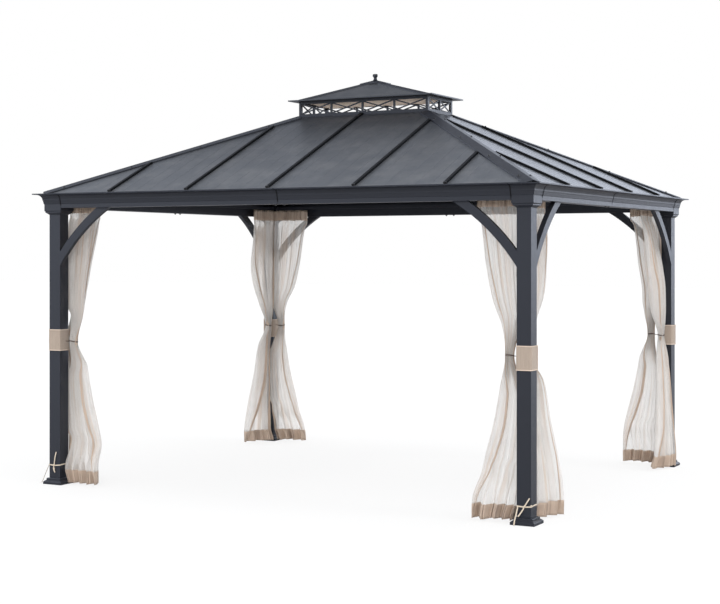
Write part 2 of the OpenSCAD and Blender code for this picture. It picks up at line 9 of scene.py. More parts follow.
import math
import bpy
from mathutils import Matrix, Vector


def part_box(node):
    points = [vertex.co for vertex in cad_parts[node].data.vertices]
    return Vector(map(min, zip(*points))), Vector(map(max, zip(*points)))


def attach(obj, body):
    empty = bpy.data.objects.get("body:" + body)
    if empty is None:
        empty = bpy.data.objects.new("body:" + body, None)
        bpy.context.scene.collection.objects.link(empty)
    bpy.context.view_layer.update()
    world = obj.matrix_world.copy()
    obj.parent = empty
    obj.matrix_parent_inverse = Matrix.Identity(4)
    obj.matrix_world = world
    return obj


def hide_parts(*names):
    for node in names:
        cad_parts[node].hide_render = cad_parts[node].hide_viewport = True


bl_info = {
    "name": "Hardtop Gazebo",
    "version": (1, 0, 0),
    "blender": (4, 5, 0),
    "location": "View3D > Sidebar > Gazebo",
    "description": "Dresses the frame of a gazebo with its coats, curtains and fittings",
    "category": "Object",
}

import bmesh
import bpy
from bpy.props import FloatProperty, FloatVectorProperty, IntProperty, PointerProperty
from mathutils import Matrix, Vector, noise

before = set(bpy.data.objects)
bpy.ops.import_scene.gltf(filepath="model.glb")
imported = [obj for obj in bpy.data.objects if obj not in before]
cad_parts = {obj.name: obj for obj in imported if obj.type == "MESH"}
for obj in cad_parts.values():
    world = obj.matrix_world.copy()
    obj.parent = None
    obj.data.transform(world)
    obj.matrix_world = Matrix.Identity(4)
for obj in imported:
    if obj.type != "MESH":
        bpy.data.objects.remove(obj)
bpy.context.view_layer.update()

BODY = "root"
UP = Vector((0, 0, 1))
# Each corner's signs of X and Y, and each side's quarter turns from the front
CORNERS = {"front_left": (-1, -1), "front_right": (1, -1), "back_right": (1, 1),
           "back_left": (-1, 1)}
SIDES = {"front": 0, "right": 1, "back": 2, "left": 3}
LONG_SIDES = ("front", "back")


def box(node):
    """Lowest and highest corner of a CAD node at rest."""
    low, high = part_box(node)
    return Vector(low), Vector(high)


def post_centre(corner):
    low, high = box("post_" + corner)
    return Vector(((low.x + high.x) / 2, (low.y + high.y) / 2, 0))


def side_reach(node, side):
    """How far a node on one side reaches out from the centre."""
    low, high = box(node)
    return {"front": -low.y, "right": high.x, "back": high.y, "left": -low.x}[side]


def side_spin(side):
    """The turn that takes the front to a side."""
    return Matrix.Rotation(SIDES[side] * math.pi / 2, 3, "Z")


POST_HALF = (box("post_front_left")[1].x - box("post_front_left")[0].x) / 2
FASCIA_LOW = box("fascia_front")[0].z
EAVE = box("fascia_front")[1].z
RAIL_LOW = box("curtain_rails")[0].z


# ---- sizes and colours that a user would change ----


def size(name, description, default, low, high):
    """A size in metres, with its limits."""
    return FloatProperty(name=name, description=description, subtype="DISTANCE", unit="LENGTH",
                         default=default, min=low, max=high)


def colour(name, description, default):
    return FloatVectorProperty(name=name, description=description, subtype="COLOR", size=3,
                               min=0, max=1, default=default)


def number(name, description, default, low, high):
    """A plain number, with its limits."""
    return FloatProperty(name=name, description=description, default=default, min=low, max=high)


class GazeboMetal(bpy.types.PropertyGroup):
    """Coats and fittings of the metal"""

    coat: colour("Frame coat", "Colour of the powder coat on the frame", (0.016, 0.018, 0.025))
    roof_coat: colour("Roof coat", "Colour of the coat on the roof sheets", (0.024, 0.027, 0.033))
    rib_spacing: size("Rib spacing", "Distance between the shallow ribs of a roof sheet",
                      0.1017, 0.05, 0.3)
    rib_width: size("Rib width", "Width of a shallow rib", 0.007, 0.002, 0.02)
    rib_height: size("Rib height", "Height of a shallow rib", 0.0006, 0.0003, 0.005)
    screw_radius: size("Screw radius", "Radius of the flange of a roofing screw",
                       0.0085, 0.003, 0.015)


class GazeboCloth(bpy.types.PropertyGroup):
    """Cloth, cords and tapes"""

    net: colour("Net", "Colour of the curtain net", (0.955, 0.938, 0.920))
    khaki: colour("Binding", "Colour of the hems, ribbons, headers and cuffs", (0.74, 0.60, 0.49))
    tape: colour("Tape", "Colour of the tie tapes", (0.74, 0.63, 0.50))
    cover: number("Net cover", "Share of the net that its threads cover", 0.55, 0.2, 1.0)
    folds: IntProperty(
        name="Folds", description="Number of folds in the header of a curtain on a short side",
        default=16, min=10, max=30)
    header: size("Header", "Height of the gathered header", 0.088, 0.03, 0.15)
    hem: size("Hem", "Height of the hem", 0.092, 0.03, 0.15)
    ribbon: size("Ribbon", "Width of the ribbon along a free edge", 0.050, 0.01, 0.08)
    tape_width: size("Tape width", "Width of a tie tape", 0.008, 0.004, 0.012)


class GazeboStage(bpy.types.PropertyGroup):
    """Camera and light"""

    lens: number("Lens", "Focal length on a sensor 36 mm wide", 77.035, 10, 200)
    camera_place: FloatVectorProperty(
        name="Camera", description="Place of the camera", subtype="TRANSLATION", unit="LENGTH",
        size=3, default=(4.996, -9.7084, 1.5517))
    camera_turn: FloatProperty(
        name="Turn", description="Direction of view, from straight along +Y",
        subtype="ANGLE", default=math.radians(27.8), min=-math.pi, max=math.pi)
    camera_rise: number("Rise", "Vertical shift of the lens", -0.0653, -0.3, 0.3)
    key: number("Key light", "Strength of the soft sun from the right", 0.7, 0, 10)
    front: number("Front light", "Strength of the low soft light from the front", 1.0, 0, 10)
    fill: number("Fill light", "Strength of the even light all round", 1.12, 0, 2)


# ---- making meshes ----

FINISH = {}


def new_object(name, data):
    """An object at the origin of the scene."""
    made = bpy.data.objects.new(name, data)
    bpy.context.scene.collection.objects.link(made)
    return made


def new_piece(name, points, faces, finish=None, smooth=True):
    """A mesh object at the origin, from points in metres in the shared frame."""
    mesh = bpy.data.meshes.new(name)
    mesh.from_pydata([tuple(p) for p in points], [], faces)
    if finish:
        mesh.materials.append(FINISH[finish])
    mesh.polygons.foreach_set("use_smooth", [smooth] * len(mesh.polygons))
    mesh.validate()
    mesh.update()
    return new_object(name, mesh)


def edit_mesh(piece, change):
    """Applies one change to a piece's mesh."""
    work = bmesh.new()
    work.from_mesh(piece.data)
    change(work)
    work.to_mesh(piece.data)
    work.free()


def face_outwards(piece):
    """Turns the faces of closed shells outwards."""
    edit_mesh(piece, lambda work: bmesh.ops.recalc_face_normals(work, faces=work.faces))


def drop_loose_points(piece):
    """Removes the points that no face uses."""
    edit_mesh(piece, lambda work: bmesh.ops.delete(
        work, geom=[v for v in work.verts if not v.link_faces], context="VERTS"))


def set_metre_map(piece, coordinates):
    """A UV map in metres, from one (across, along) pair for each vertex."""
    layer = piece.data.uv_layers.new(name="metres")
    for loop in piece.data.loops:
        layer.data[loop.index].uv = coordinates[loop.vertex_index]


def ride(piece):
    """Fixes a finished piece to the one body."""
    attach(piece, BODY)


def ring_mesh(rings, closed_path=False, caps=True):
    """Points and faces of a tube through rings of as many points each."""
    count = len(rings[0])
    points = [p for ring in rings for p in ring]
    faces = []
    spans = len(rings) if closed_path else len(rings) - 1
    for j in range(spans):
        k = (j + 1) % len(rings)
        for i in range(count):
            n = (i + 1) % count
            faces.append((j * count + i, j * count + n, k * count + n, k * count + i))
    if caps and not closed_path:
        faces.append(tuple(reversed(range(count))))
        last = (len(rings) - 1) * count
        faces.append(tuple(last + i for i in range(count)))
    return points, faces


def smooth_path(points, step):
    """A Catmull-Rom curve through points, with stretches of about one step."""
    pts = [Vector(p) for p in points]
    out = []
    for i in range(len(pts) - 1):
        before = pts[max(i - 1, 0)]
        a, b = pts[i], pts[i + 1]
        after = pts[min(i + 2, len(pts) - 1)]
        parts = max(1, round((b - a).length / step))
        for j in range(parts):
            t = j / parts
            out.append(0.5 * ((2 * a) + (b - before) * t
                              + (2 * before - 5 * a + 4 * b - after) * t * t
                              + (3 * a - before - 3 * b + after) * t ** 3))
    out.append(pts[-1])
    return out


def sweep(path, section, reference, closed=False):
    """Rings of a section of (across, thick) pairs along a path. The section's first axis lies
    across the path, square to it and to the reference direction, which may differ at each point."""
    rings = []
    last = len(path) - 1
    for j, p in enumerate(path):
        if closed:
            aim = (path[(j + 1) % len(path)] - path[j - 1]).normalized()
        else:
            aim = (path[min(j + 1, last)] - path[max(j - 1, 0)]).normalized()
        guide = reference[j] if isinstance(reference, list) else reference
        side = aim.cross(guide).normalized()
        thick = side.cross(aim).normalized()
        rings.append([p + side * x + thick * y for x, y in section])
    return rings


def tape_section(width, thickness):
    """Outline of a flat woven tape with round edges."""
    w, t = width / 2, thickness / 2
    return [(w, 0), (w - t, t), (0, t), (t - w, t), (-w, 0), (t - w, -t), (0, -t), (w - t, -t)]


def around(count):
    """Even angles once round."""
    return [math.tau * i / count for i in range(count)]


def flat_band(path, width, thickness, reference, closed=False):
    """Points, faces and metre map of a tape along a path."""
    section = tape_section(width, thickness)
    points, faces = ring_mesh(sweep(path, section, reference, closed), closed)
    count, travelled, coordinates = len(section), 0.0, []
    for j in range(len(path)):
        if j:
            travelled += (path[j] - path[j - 1]).length
        coordinates += [(width * i / count, travelled) for i in range(count)]
    return points, faces, coordinates


def round_cord(path, radius, sides, across, along, closed=False):
    """Points, faces and metre map of a round cord along a path. Across and along are the map's
    steps from one point of the outline, and from one ring, to the next."""
    section = [(radius * math.cos(a), radius * math.sin(a)) for a in around(sides)]
    points, faces = ring_mesh(sweep(path, section, UP, closed), closed)
    return points, faces, [(across * (i % sides), along * (i // sides)) for i in range(len(points))]


def joined_piece(name, parts, finish):
    """One piece from parts, each with its points, faces and metre map."""
    points, faces, coordinates = [], [], []
    for part_points, part_faces, part_map in parts:
        start = len(points)
        points += part_points
        faces += [tuple(i + start for i in face) for face in part_faces]
        coordinates += part_map
    piece = new_piece(name, points, faces, finish)
    set_metre_map(piece, coordinates)
    face_outwards(piece)
    return piece


def square_path(half, corner_radius, height, parts):
    """A closed loop round a square post, anticlockwise, and its outward directions."""
    path, outwards = [], []
    inner, straight_parts = half - corner_radius, 8
    signs = ((1, 1), (-1, 1), (-1, -1), (1, -1))
    for q, (x, y) in enumerate(signs):
        start = q * math.pi / 2
        for i in range(parts + 1):
            a = start + i * math.pi / 2 / parts
            out = Vector((math.cos(a), math.sin(a), 0))
            path.append(Vector((x * inner, y * inner, height)) + corner_radius * out)
            outwards.append(out)
        # A few points along the straight side that follows, square to the last direction
        next_x, next_y = signs[(q + 1) % 4]
        a = path[-1]
        b = Vector((next_x * inner, next_y * inner, height)) + corner_radius * out
        for i in range(1, straight_parts):
            path.append(a.lerp(b, i / straight_parts))
            outwards.append(out)
    return path, outwards


def soft_step(value, low, high):
    """Rises smoothly from 0 to 1 between two values."""
    t = min(max((value - low) / (high - low), 0), 1)
    return t * t * (3 - 2 * t)


def gentle(levels, column, height):
    """A smooth value between levels sorted by their first entry."""
    if height <= levels[0][0]:
        return levels[0][column]
    if height >= levels[-1][0]:
        return levels[-1][column]
    i = max(j for j in range(len(levels)) if levels[j][0] <= height)
    z0, z1 = levels[i][0], levels[i + 1][0]
    a, b = levels[i][column], levels[i + 1][column]

    def slope_at(j):
        if j <= 0 or j >= len(levels) - 1:
            return 0.0
        before, here, after = levels[j - 1], levels[j], levels[j + 1]
        left = (here[column] - before[column]) / (here[0] - before[0])
        right = (after[column] - here[column]) / (after[0] - here[0])
        return 0.0 if left * right <= 0 else 2 * left * right / (left + right)

    t, span = (height - z0) / (z1 - z0), z1 - z0
    return ((2 * t ** 3 - 3 * t * t + 1) * a + (t ** 3 - 2 * t * t + t) * span * slope_at(i)
            + (3 * t * t - 2 * t ** 3) * b + (t ** 3 - t * t) * span * slope_at(i + 1))


# ---- node trees ----


class Graph:
    """Short ways to add and link the nodes of one tree."""

    def __init__(self, tree):
        self.tree = tree

    def feed(self, target, value):
        """Links an input to a socket, or sets its value."""
        if isinstance(value, bpy.types.NodeSocket):
            self.tree.links.new(value, target)
        elif value is not None:
            target.default_value = value

    def node(self, kind, inputs=None, **settings):
        """A node with its settings, and its inputs fed by name or number."""
        made = self.tree.nodes.new(kind)
        for key, value in settings.items():
            setattr(made, key, value)
        for key, value in (inputs or {}).items():
            self.feed(made.inputs[key], value)
        return made

    def math(self, operation, *values, clamp=False):
        return self.node("ShaderNodeMath", dict(enumerate(values)),
                         operation=operation, use_clamp=clamp).outputs[0]

    def times(self, a, b, clamp=False):
        return self.math("MULTIPLY", a, b, clamp=clamp)

    def plus(self, a, b, clamp=False):
        return self.math("ADD", a, b, clamp=clamp)

    def spread(self, value, low, high, out_low=0.0, out_high=1.0):
        """Takes low to out_low and high to out_high, smoothly."""
        return self.node("ShaderNodeMapRange", dict(enumerate((value, low, high, out_low, out_high))),
                         interpolation_type="SMOOTHSTEP").outputs[0]

    def mix(self, share, a, b, blend="MIX"):
        return self.node("ShaderNodeMix", {0: share, 6: a, 7: b},
                         data_type="RGBA", blend_type=blend).outputs[2]

    def tint(self, base, factors):
        """A colour times a factor for each of red, green and blue."""
        return self.mix(1.0, base, (*factors, 1), "MULTIPLY")

    def scale(self, vector, factor):
        return self.node("ShaderNodeVectorMath", {0: vector, "Scale": factor},
                         operation="SCALE").outputs[0]

    def dot(self, a, b):
        return self.node("ShaderNodeVectorMath", {0: a, 1: b},
                         operation="DOT_PRODUCT").outputs["Value"]

    def split(self, vector):
        """X, Y and Z of a vector."""
        return self.node("ShaderNodeSeparateXYZ", {0: vector}).outputs

    def vector(self, x=None, y=None, z=None):
        return self.node("ShaderNodeCombineXYZ", {0: x, 1: y, 2: z}).outputs[0]

    def place(self):
        """Place on the object, in metres."""
        return self.node("ShaderNodeTexCoord").outputs["Object"]

    def noise(self, vector, scale, detail=2.0, rough=0.5):
        return self.node("ShaderNodeTexNoise", {"Vector": vector, "Scale": scale, "Detail": detail,
                                                "Roughness": rough}).outputs["Fac"]

    def stretch(self, vector, scale):
        return self.node("ShaderNodeMapping", {"Vector": vector, "Scale": scale}).outputs[0]

    def bump(self, height, distance, normal=None):
        return self.node("ShaderNodeBump", {"Height": height, "Distance": distance, "Strength": 1.0,
                                            "Normal": normal}).outputs[0]

    def blend(self, share, a, b):
        """A mix of two shaders."""
        return self.node("ShaderNodeMixShader", {0: share, 1: a, 2: b}).outputs[0]


def new_tree(kind, name, inputs, outputs):
    """An empty node group with its sockets: (name, kind, default) in and (name, kind) out."""
    tree = bpy.data.node_groups.new(name, kind)
    for label, socket_kind, default in inputs:
        socket = tree.interface.new_socket(label, in_out="INPUT",
                                           socket_type="NodeSocket" + socket_kind)
        if default is not None:
            socket.default_value = default
    for label, socket_kind in outputs:
        tree.interface.new_socket(label, in_out="OUTPUT", socket_type="NodeSocket" + socket_kind)
    g = Graph(tree)
    return tree, g, g.node("NodeGroupInput").outputs, g.node("NodeGroupOutput").inputs


def make_coat_wear_and_highlight_group():
    """Powder coat: soft tone change, dust on what faces up, and paler edges that are partly rubbed coat
    and partly a painted highlight.
    """
    tree, g, given, out = new_tree(
        "ShaderNodeTree", "Coat wear",
        [("Coat", "Color", (0.1, 0.1, 0.1, 1)), ("Dust", "Color", (0.42, 0.40, 0.38, 1)),
         ("Dust Amount", "Float", 0.1), ("Edge Amount", "Float", 0.3), ("Grain", "Float", 700.0),
         ("Roughness", "Float", 0.45)],
        [("Color", "Color"), ("Roughness", "Float"), ("Height", "Float")])
    edge_radius, edge_gain, dust_roughness = 0.004, 2.1, 0.5
    place = g.place()
    normal = g.node("ShaderNodeNewGeometry").outputs["Normal"]
    cloudy = g.noise(place, 1.7, 4.0, 0.6)
    mottle = g.noise(place, 38.0, 3.0, 0.6)
    tone = g.plus(g.plus(g.times(cloudy, 0.30), g.times(mottle, 0.10)), 0.80)
    base = g.scale(given["Coat"], tone)
    # Edges, where a rounded normal leaves the flat one, are made paler: partly rubbed coat, partly a
    # painted highlight
    rounded = g.node("ShaderNodeBevel", {"Radius": edge_radius}, samples=4).outputs[0]
    edge = g.spread(g.dot(rounded, normal), 0.985, 0.86)
    edge = g.times(edge, g.spread(mottle, 0.30, 0.70, 0.35, 1.0))
    edge = g.times(edge, given["Edge Amount"], clamp=True)
    worn_and_highlit = g.mix(edge, base, g.tint(base, [edge_gain] * 3))
    # Dust
    up = g.spread(g.split(normal)["Z"], 0.2, 1.0)
    patchy = g.spread(g.noise(place, 7.0, 5.0, 0.65), 0.35, 0.75, 0.3, 1.0)
    dust = g.times(g.times(up, patchy), given["Dust Amount"], clamp=True)
    g.feed(out["Color"], g.mix(dust, worn_and_highlit, given["Dust"]))
    rough = g.plus(given["Roughness"], g.times(g.math("SUBTRACT", mottle, 0.5), 0.16))
    g.feed(out["Roughness"], g.plus(rough, g.times(dust, dust_roughness), clamp=True))
    g.feed(out["Height"], g.noise(place, given["Grain"], 2.0, 0.6))
    return tree


def make_weave_group():
    """Threads that cross: a cover mask, a thread height and a slight tone for each thread."""
    tree, g, given, out = new_tree(
        "ShaderNodeTree", "Weave",
        [("Across", "Float", 0.0), ("Along", "Float", 0.0), ("Pitch", "Float", 0.002),
         ("Cover", "Float", 0.5), ("Slub", "Float", 0.2)],
        [("Cover", "Float"), ("Height", "Float"), ("Tone", "Float")])
    softness, slub_across, slub_along = 0.15, 260.0, 9.0
    waves = []
    for label in ("Across", "Along"):
        turns = g.math("DIVIDE", given[label], given["Pitch"])
        wave = g.math("SINE", g.times(turns, math.tau))
        waves.append(g.math("MULTIPLY_ADD", wave, 0.5, 0.5))
    height = g.math("MAXIMUM", *waves)
    edge = g.math("SUBTRACT", 1.0, given["Cover"])
    cover = g.spread(height, g.math("SUBTRACT", edge, softness), g.plus(edge, softness))
    threads = g.vector(g.times(given["Across"], slub_across), g.times(given["Along"], slub_along))
    uneven = g.math("SUBTRACT", g.noise(threads, 1.0, 2.0, 0.5), 0.5)
    g.feed(out["Cover"], cover)
    g.feed(out["Height"], height)
    g.feed(out["Tone"], g.math("MULTIPLY_ADD", uneven, given["Slub"], 1.0))
    return tree


# ---- materials ----


def new_material(name, roughness, specular, sheen=0.0):
    """A plain material under its name in FINISH, with its tree's graph and its shader."""
    material = bpy.data.materials.new(name)
    material.use_nodes = True
    shader = material.node_tree.nodes["Principled BSDF"]
    for label, value in (("Roughness", roughness), ("Metallic", 0.0), ("Sheen Weight", sheen),
                         ("Specular IOR Level", specular), ("Sheen Roughness", 0.5)):
        shader.inputs[label].default_value = value
    FINISH[name] = material
    return material, Graph(material.node_tree), shader


def coat_material(name, base, wear_and_highlight, roughness, dust, edge, grain_depth, specular,
                  streaks=None, paler_towards_eaves=None):
    """A powder coat. Streaks are the noise scales of rolling marks, and paler_towards_eaves is the pair
    of heights over which the sheets grow paler from the top down to the eaves."""
    _, g, shader = new_material(name, roughness, specular)
    use = g.node("ShaderNodeGroup", node_tree=wear_and_highlight)
    for label, value in (("Coat", (*base, 1)), ("Dust Amount", dust), ("Edge Amount", edge),
                         ("Roughness", roughness)):
        use.inputs[label].default_value = value
    shown = use.outputs["Color"]
    if streaks:
        marks = g.noise(g.stretch(g.place(), streaks), 1.0, 4.0, 0.6)
        shown = g.mix(g.spread(marks, 0.35, 0.7, 0.0, 0.35), shown, g.tint(shown, [1.28] * 3))
    # The sheets grow paler from the top down to the eaves
    if paler_towards_eaves:
        low, high = paler_towards_eaves
        shown = g.mix(g.spread(g.split(g.place())["Z"], high, low), shown,
                      g.tint(shown, (2.3, 2.3, 2.25)))
    g.feed(shader.inputs["Base Color"], shown)
    g.feed(shader.inputs["Roughness"], use.outputs["Roughness"])
    g.feed(shader.inputs["Normal"], g.bump(use.outputs["Height"], grain_depth))


def cloth_material(name, base, weave, pitch, cover, slub, thread_depth, see_through=None,
                   dark=0.75, crease=0.0, glow_through=0.0, painted_fold_shade=None):
    """A woven cloth. See-through is the pair of shares that stay solid in the gaps and on the
    threads, dark the tone between threads, and painted_fold_shade the colour of painted shade in runs
    along the folds."""
    material, g, shader = new_material(name, 0.9, 0.2, sheen=0.25)
    metres = g.node("ShaderNodeUVMap", uv_map="metres").outputs[0]
    across, along, _ = g.split(metres)
    use = g.node("ShaderNodeGroup", node_tree=weave)
    for label, value in (("Across", across), ("Along", along), ("Pitch", pitch), ("Cover", cover),
                         ("Slub", slub)):
        g.feed(use.inputs[label], value)
    place = g.place()
    cloudy = g.noise(place, 6.0, 3.0, 0.6)
    tone = g.times(use.outputs["Tone"], g.spread(cloudy, 0.3, 0.7, 0.95, 1.01))
    plain = g.scale(base, tone)
    # Noisy runs along the folds, tinted darker: painted shade of the folds
    if painted_fold_shade:
        runs = g.noise(g.stretch(metres, (16.0, 0.9, 1.0)), 1.0, 3.0, 0.62)
        plain = g.mix(g.spread(runs, 0.50, 0.70, 0.0, 0.85), plain, (*painted_fold_shade, 1))
    shade = g.mix(use.outputs["Height"], g.scale(plain, dark), plain)
    g.feed(shader.inputs["Base Color"], shade)
    g.feed(shader.inputs["Roughness"], g.spread(cloudy, 0.2, 0.8, 0.84, 0.96))
    normal = None
    if crease:
        normal = g.bump(g.noise(g.stretch(place, (30, 30, 6)), 1.0, 3.0, 0.6), crease)
    g.feed(shader.inputs["Normal"], g.bump(use.outputs["Height"], thread_depth, normal))
    if glow_through:
        # Thin cloth also passes on the light that falls on its other side
        behind = g.node("ShaderNodeBsdfTranslucent", {"Color": shade}).outputs[0]
        surface = g.blend(glow_through, shader.outputs[0], behind)
        if see_through:
            clear = g.node("ShaderNodeBsdfTransparent").outputs[0]
            surface = g.blend(g.spread(use.outputs["Cover"], 0.0, 1.0, *see_through), clear, surface)
        g.feed(material.node_tree.nodes["Material Output"].inputs["Surface"], surface)


class GAZEBO_OT_finishes(bpy.types.Operator):
    """Makes the materials and puts the coats on the metal"""

    bl_idname = "gazebo.finishes"
    bl_label = "Finishes"

    def execute(self, context):
        metal, cloth = context.scene.gazebo_metal, context.scene.gazebo_cloth
        wear_and_highlight, weave = make_coat_wear_and_highlight_group(), make_weave_group()

        def roof(factor):
            return [c * factor for c in metal.roof_coat]

        def khaki(factor):
            return [c * factor for c in cloth.khaki]

        # Colour, then roughness, dust, pale edges (rubbed coat and painted highlight), depth of the
        # grain and specular level
        coat_material("frame coat", metal.coat, wear_and_highlight, 0.42, 0.03, 0.30, 0.00006, 0.36)
        # The standing seams take a far darker copy of the roof coat: painted shade on their shadowed
        # sides
        coat_material("seam coat with painted shade", roof(0.18), wear_and_highlight, 0.50, 0.02, 0.40, 0.00004, 0.14)
        coat_material("roof coat top", roof(1.4), wear_and_highlight, 0.42, 0.12, 0.25, 0.00005, 0.5)
        coat_material("dark fittings", (0.022, 0.022, 0.024), wear_and_highlight, 0.38, 0.04, 0.6, 0.00004, 0.6)
        # A near-black coat for the strips that paint the shadow in the fascia joints
        coat_material("painted joint shadow", (0.006, 0.006, 0.007), wear_and_highlight, 0.7, 0.02, 0.0, 0.00003, 0.2)
        # The rolling marks run up the slope, and the sheets are paler towards the eaves
        for name, roughness, marks in (("long", 0.33, (26, 1.6, 1.6)), ("short", 0.28, (1.6, 26, 1.6))):
            coat_material(f"roof coat {name} side", roof(1), wear_and_highlight, roughness, 0.06, 0.25, 0.00005, 0.5,
                          streaks=marks, paler_towards_eaves=(EAVE, box("roof_front")[1].z))
        # Colour, then pitch of the threads, their cover, their slub and their height
        cloth_material("curtain net", cloth.net, weave, 0.0016, cloth.cover, 0.10, 0.0001,
                       see_through=(0.20, 0.74), dark=0.97, glow_through=0.52,
                       painted_fold_shade=(0.80, 0.66, 0.55))
        cloth_material("binding cloth", cloth.khaki, weave, 0.0012, 0.9, 0.25, 0.00015, dark=0.85,
                       crease=0.002, glow_through=0.30, painted_fold_shade=(0.40, 0.30, 0.24))
        cloth_material("cuff cloth", khaki(0.58), weave, 0.0022, 0.95, 0.30, 0.0003, dark=0.62)
        cloth_material("piping cloth", khaki(0.95), weave, 0.001, 0.95, 0.2, 0.0001)
        cloth_material("tape cloth", cloth.tape, weave, 0.0011, 0.95, 0.25, 0.00015, dark=0.7)
        cloth_material("vent cloth", khaki(1.5), weave, 0.0018, 0.8, 0.3, 0.0001,
                       see_through=(0.75, 1.0), glow_through=0.4)
        cloth_material("tie cord", (0.13, 0.10, 0.085), weave, 0.0012, 0.9, 0.3, 0.0002)
        sheets = {"roof_front": "long side", "roof_back": "long side", "roof_left": "short side",
                  "roof_right": "short side", "top_roof": "top"}
        for name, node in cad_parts.items():
            if name in sheets:
                finish = "roof coat " + sheets[name]
            else:
                # The standing seams take the darker coat, which paints their shade
                finish = "seam coat with painted shade" if name.startswith("seams_") else "frame coat"
            node.data.materials.clear()
            node.data.materials.append(FINISH[finish])
        return {"FINISHED"}


# ---- the stage ----


def soft_sun(name, strength, spread, towards):
    """A sun that shines from a direction, with its spread in degrees."""
    data = bpy.data.lights.new(name, "SUN")
    data.energy, data.angle = strength, math.radians(spread)
    new_object(name, data).rotation_euler = Vector(towards).to_track_quat("Z", "Y").to_euler()


def seen_straight(g, path):
    """1 on rays from the camera, also through gaps in the cloth."""
    return g.math("MAXIMUM", path["Is Camera Ray"], path["Is Transmission Ray"])


class GAZEBO_OT_stage(bpy.types.Operator):
    """Sets the camera, the pale floor and the soft light"""

    bl_idname = "gazebo.stage"
    bl_label = "Stage"

    def execute(self, context):
        scene, settings = context.scene, context.scene.gazebo_stage
        data = bpy.data.cameras.new("camera")
        data.lens, data.sensor_width = settings.lens, 36.0
        data.shift_y, data.clip_end = settings.camera_rise, 200
        scene.camera = new_object("camera", data)
        scene.camera.location = settings.camera_place
        scene.camera.rotation_euler = (math.pi / 2, 0, settings.camera_turn)
        self.lay_floor()
        self.light_world(scene, settings.fill)
        soft_sun("key", settings.key, 18, (0.80, 0.02, 0.62))
        soft_sun("front light", settings.front, 40, (0.30, -0.92, 0.25))
        scene.view_settings.view_transform = "Standard"
        return {"FINISHED"}

    def lay_floor(self):
        """A floor that looks nearly white and still takes soft shadows."""
        half, drop = 60, -0.0006
        floor = new_piece("floor", [(-half, -half, drop), (half, -half, drop), (half, half, drop),
                                    (-half, half, drop)], [(0, 1, 2, 3)], smooth=False)
        material = bpy.data.materials.new("floor")
        material.use_nodes = True
        g = Graph(material.node_tree)
        material.node_tree.nodes.clear()
        path = g.node("ShaderNodeLightPath").outputs
        seen = seen_straight(g, path)
        pale = g.mix(path["Is Glossy Ray"], (0.70, 0.70, 0.70, 1), (0.40, 0.40, 0.42, 1))
        diffuse = g.node("ShaderNodeBsdfDiffuse", {"Color": g.mix(seen, pale, (0.95, 0.95, 0.95, 1))})
        glow = g.node("ShaderNodeEmission", {"Strength": 1.0})
        surface = g.blend(g.times(seen, 0.80), diffuse.outputs[0], glow.outputs[0])
        g.node("ShaderNodeOutputMaterial", {"Surface": surface})
        floor.data.materials.append(material)

    def light_world(self, scene, fill):
        """Even light all round, a white background, and something for gloss to show: pale
        screens behind on the right, behind above and on the left, and a darker room in front."""
        world = bpy.data.worlds.new("studio")
        world.use_nodes = True
        scene.world = world
        g = Graph(world.node_tree)
        path = g.node("ShaderNodeLightPath").outputs
        seen = seen_straight(g, path)
        way = g.node("ShaderNodeTexCoord").outputs["Generated"]
        shown = 0.28
        for towards, low, high, strength in (((0.42, 0.90, 0.0), 0.72, 0.98, 3.10),
                                             ((-0.31, 0.93, 0.20), 0.86, 0.99, 1.20),
                                             ((-0.95, -0.30, 0.05), 0.35, 0.95, 2.60),
                                             ((-0.30, -0.95, 0.0), 0.60, 1.0, -0.20)):
            facing = g.spread(g.dot(way, towards), low, high)
            shown = g.math("MULTIPLY_ADD", facing, strength, shown)
        gloss = g.scale((0.90, 0.97, 1.12), shown)
        light = g.mix(path["Is Glossy Ray"], (fill, fill * 1.01, fill * 1.03, 1), gloss)
        back = world.node_tree.nodes["Background"]
        g.feed(back.inputs["Color"], g.mix(seen, light, (1, 1, 1, 1)))
        back.inputs["Strength"].default_value = 1.0


# ---- tapes at the feet of the front posts ----

# Routes of the loose ends in millimetres from the centre of their post, as in the part
TAPE_ENDS = (
    ("tape_end_right_a", "front_right",
     ((4, -51.1, 108), (1, -51.6, 100), (-1, -53, 92), (-6, -55, 84), (-12, -58, 74), (-18, -62, 64),
      (-23, -66, 56), (-28, -69, 50)), Vector((0, -1, 0.25))),
    ("tape_end_right_b", "front_right",
     ((-36, -51.1, 108), (-36, -51.8, 99), (-37, -54, 90), (-39, -58, 78), (-40, -63, 64),
      (-41, -70, 50), (-42, -77, 38), (-43, -82, 26), (-43, -86, 15), (-42, -92, 7), (-39, -100, 5),
      (-35, -109, 5), (-31, -118, 5)), Vector((0.1, -0.55, 0.8))),
    ("tape_end_left", "front_left",
     ((-51.1, -40, 132), (-52.5, -40, 124), (-57, -41, 114), (-63, -42, 102), (-69, -43, 88),
      (-76, -44, 74), (-83, -45, 58), (-90, -46, 42), (-97, -47, 26), (-104, -47, 12),
      (-112, -47, 6), (-121, -47, 5)), Vector((-0.6, -0.1, 0.8))),
)
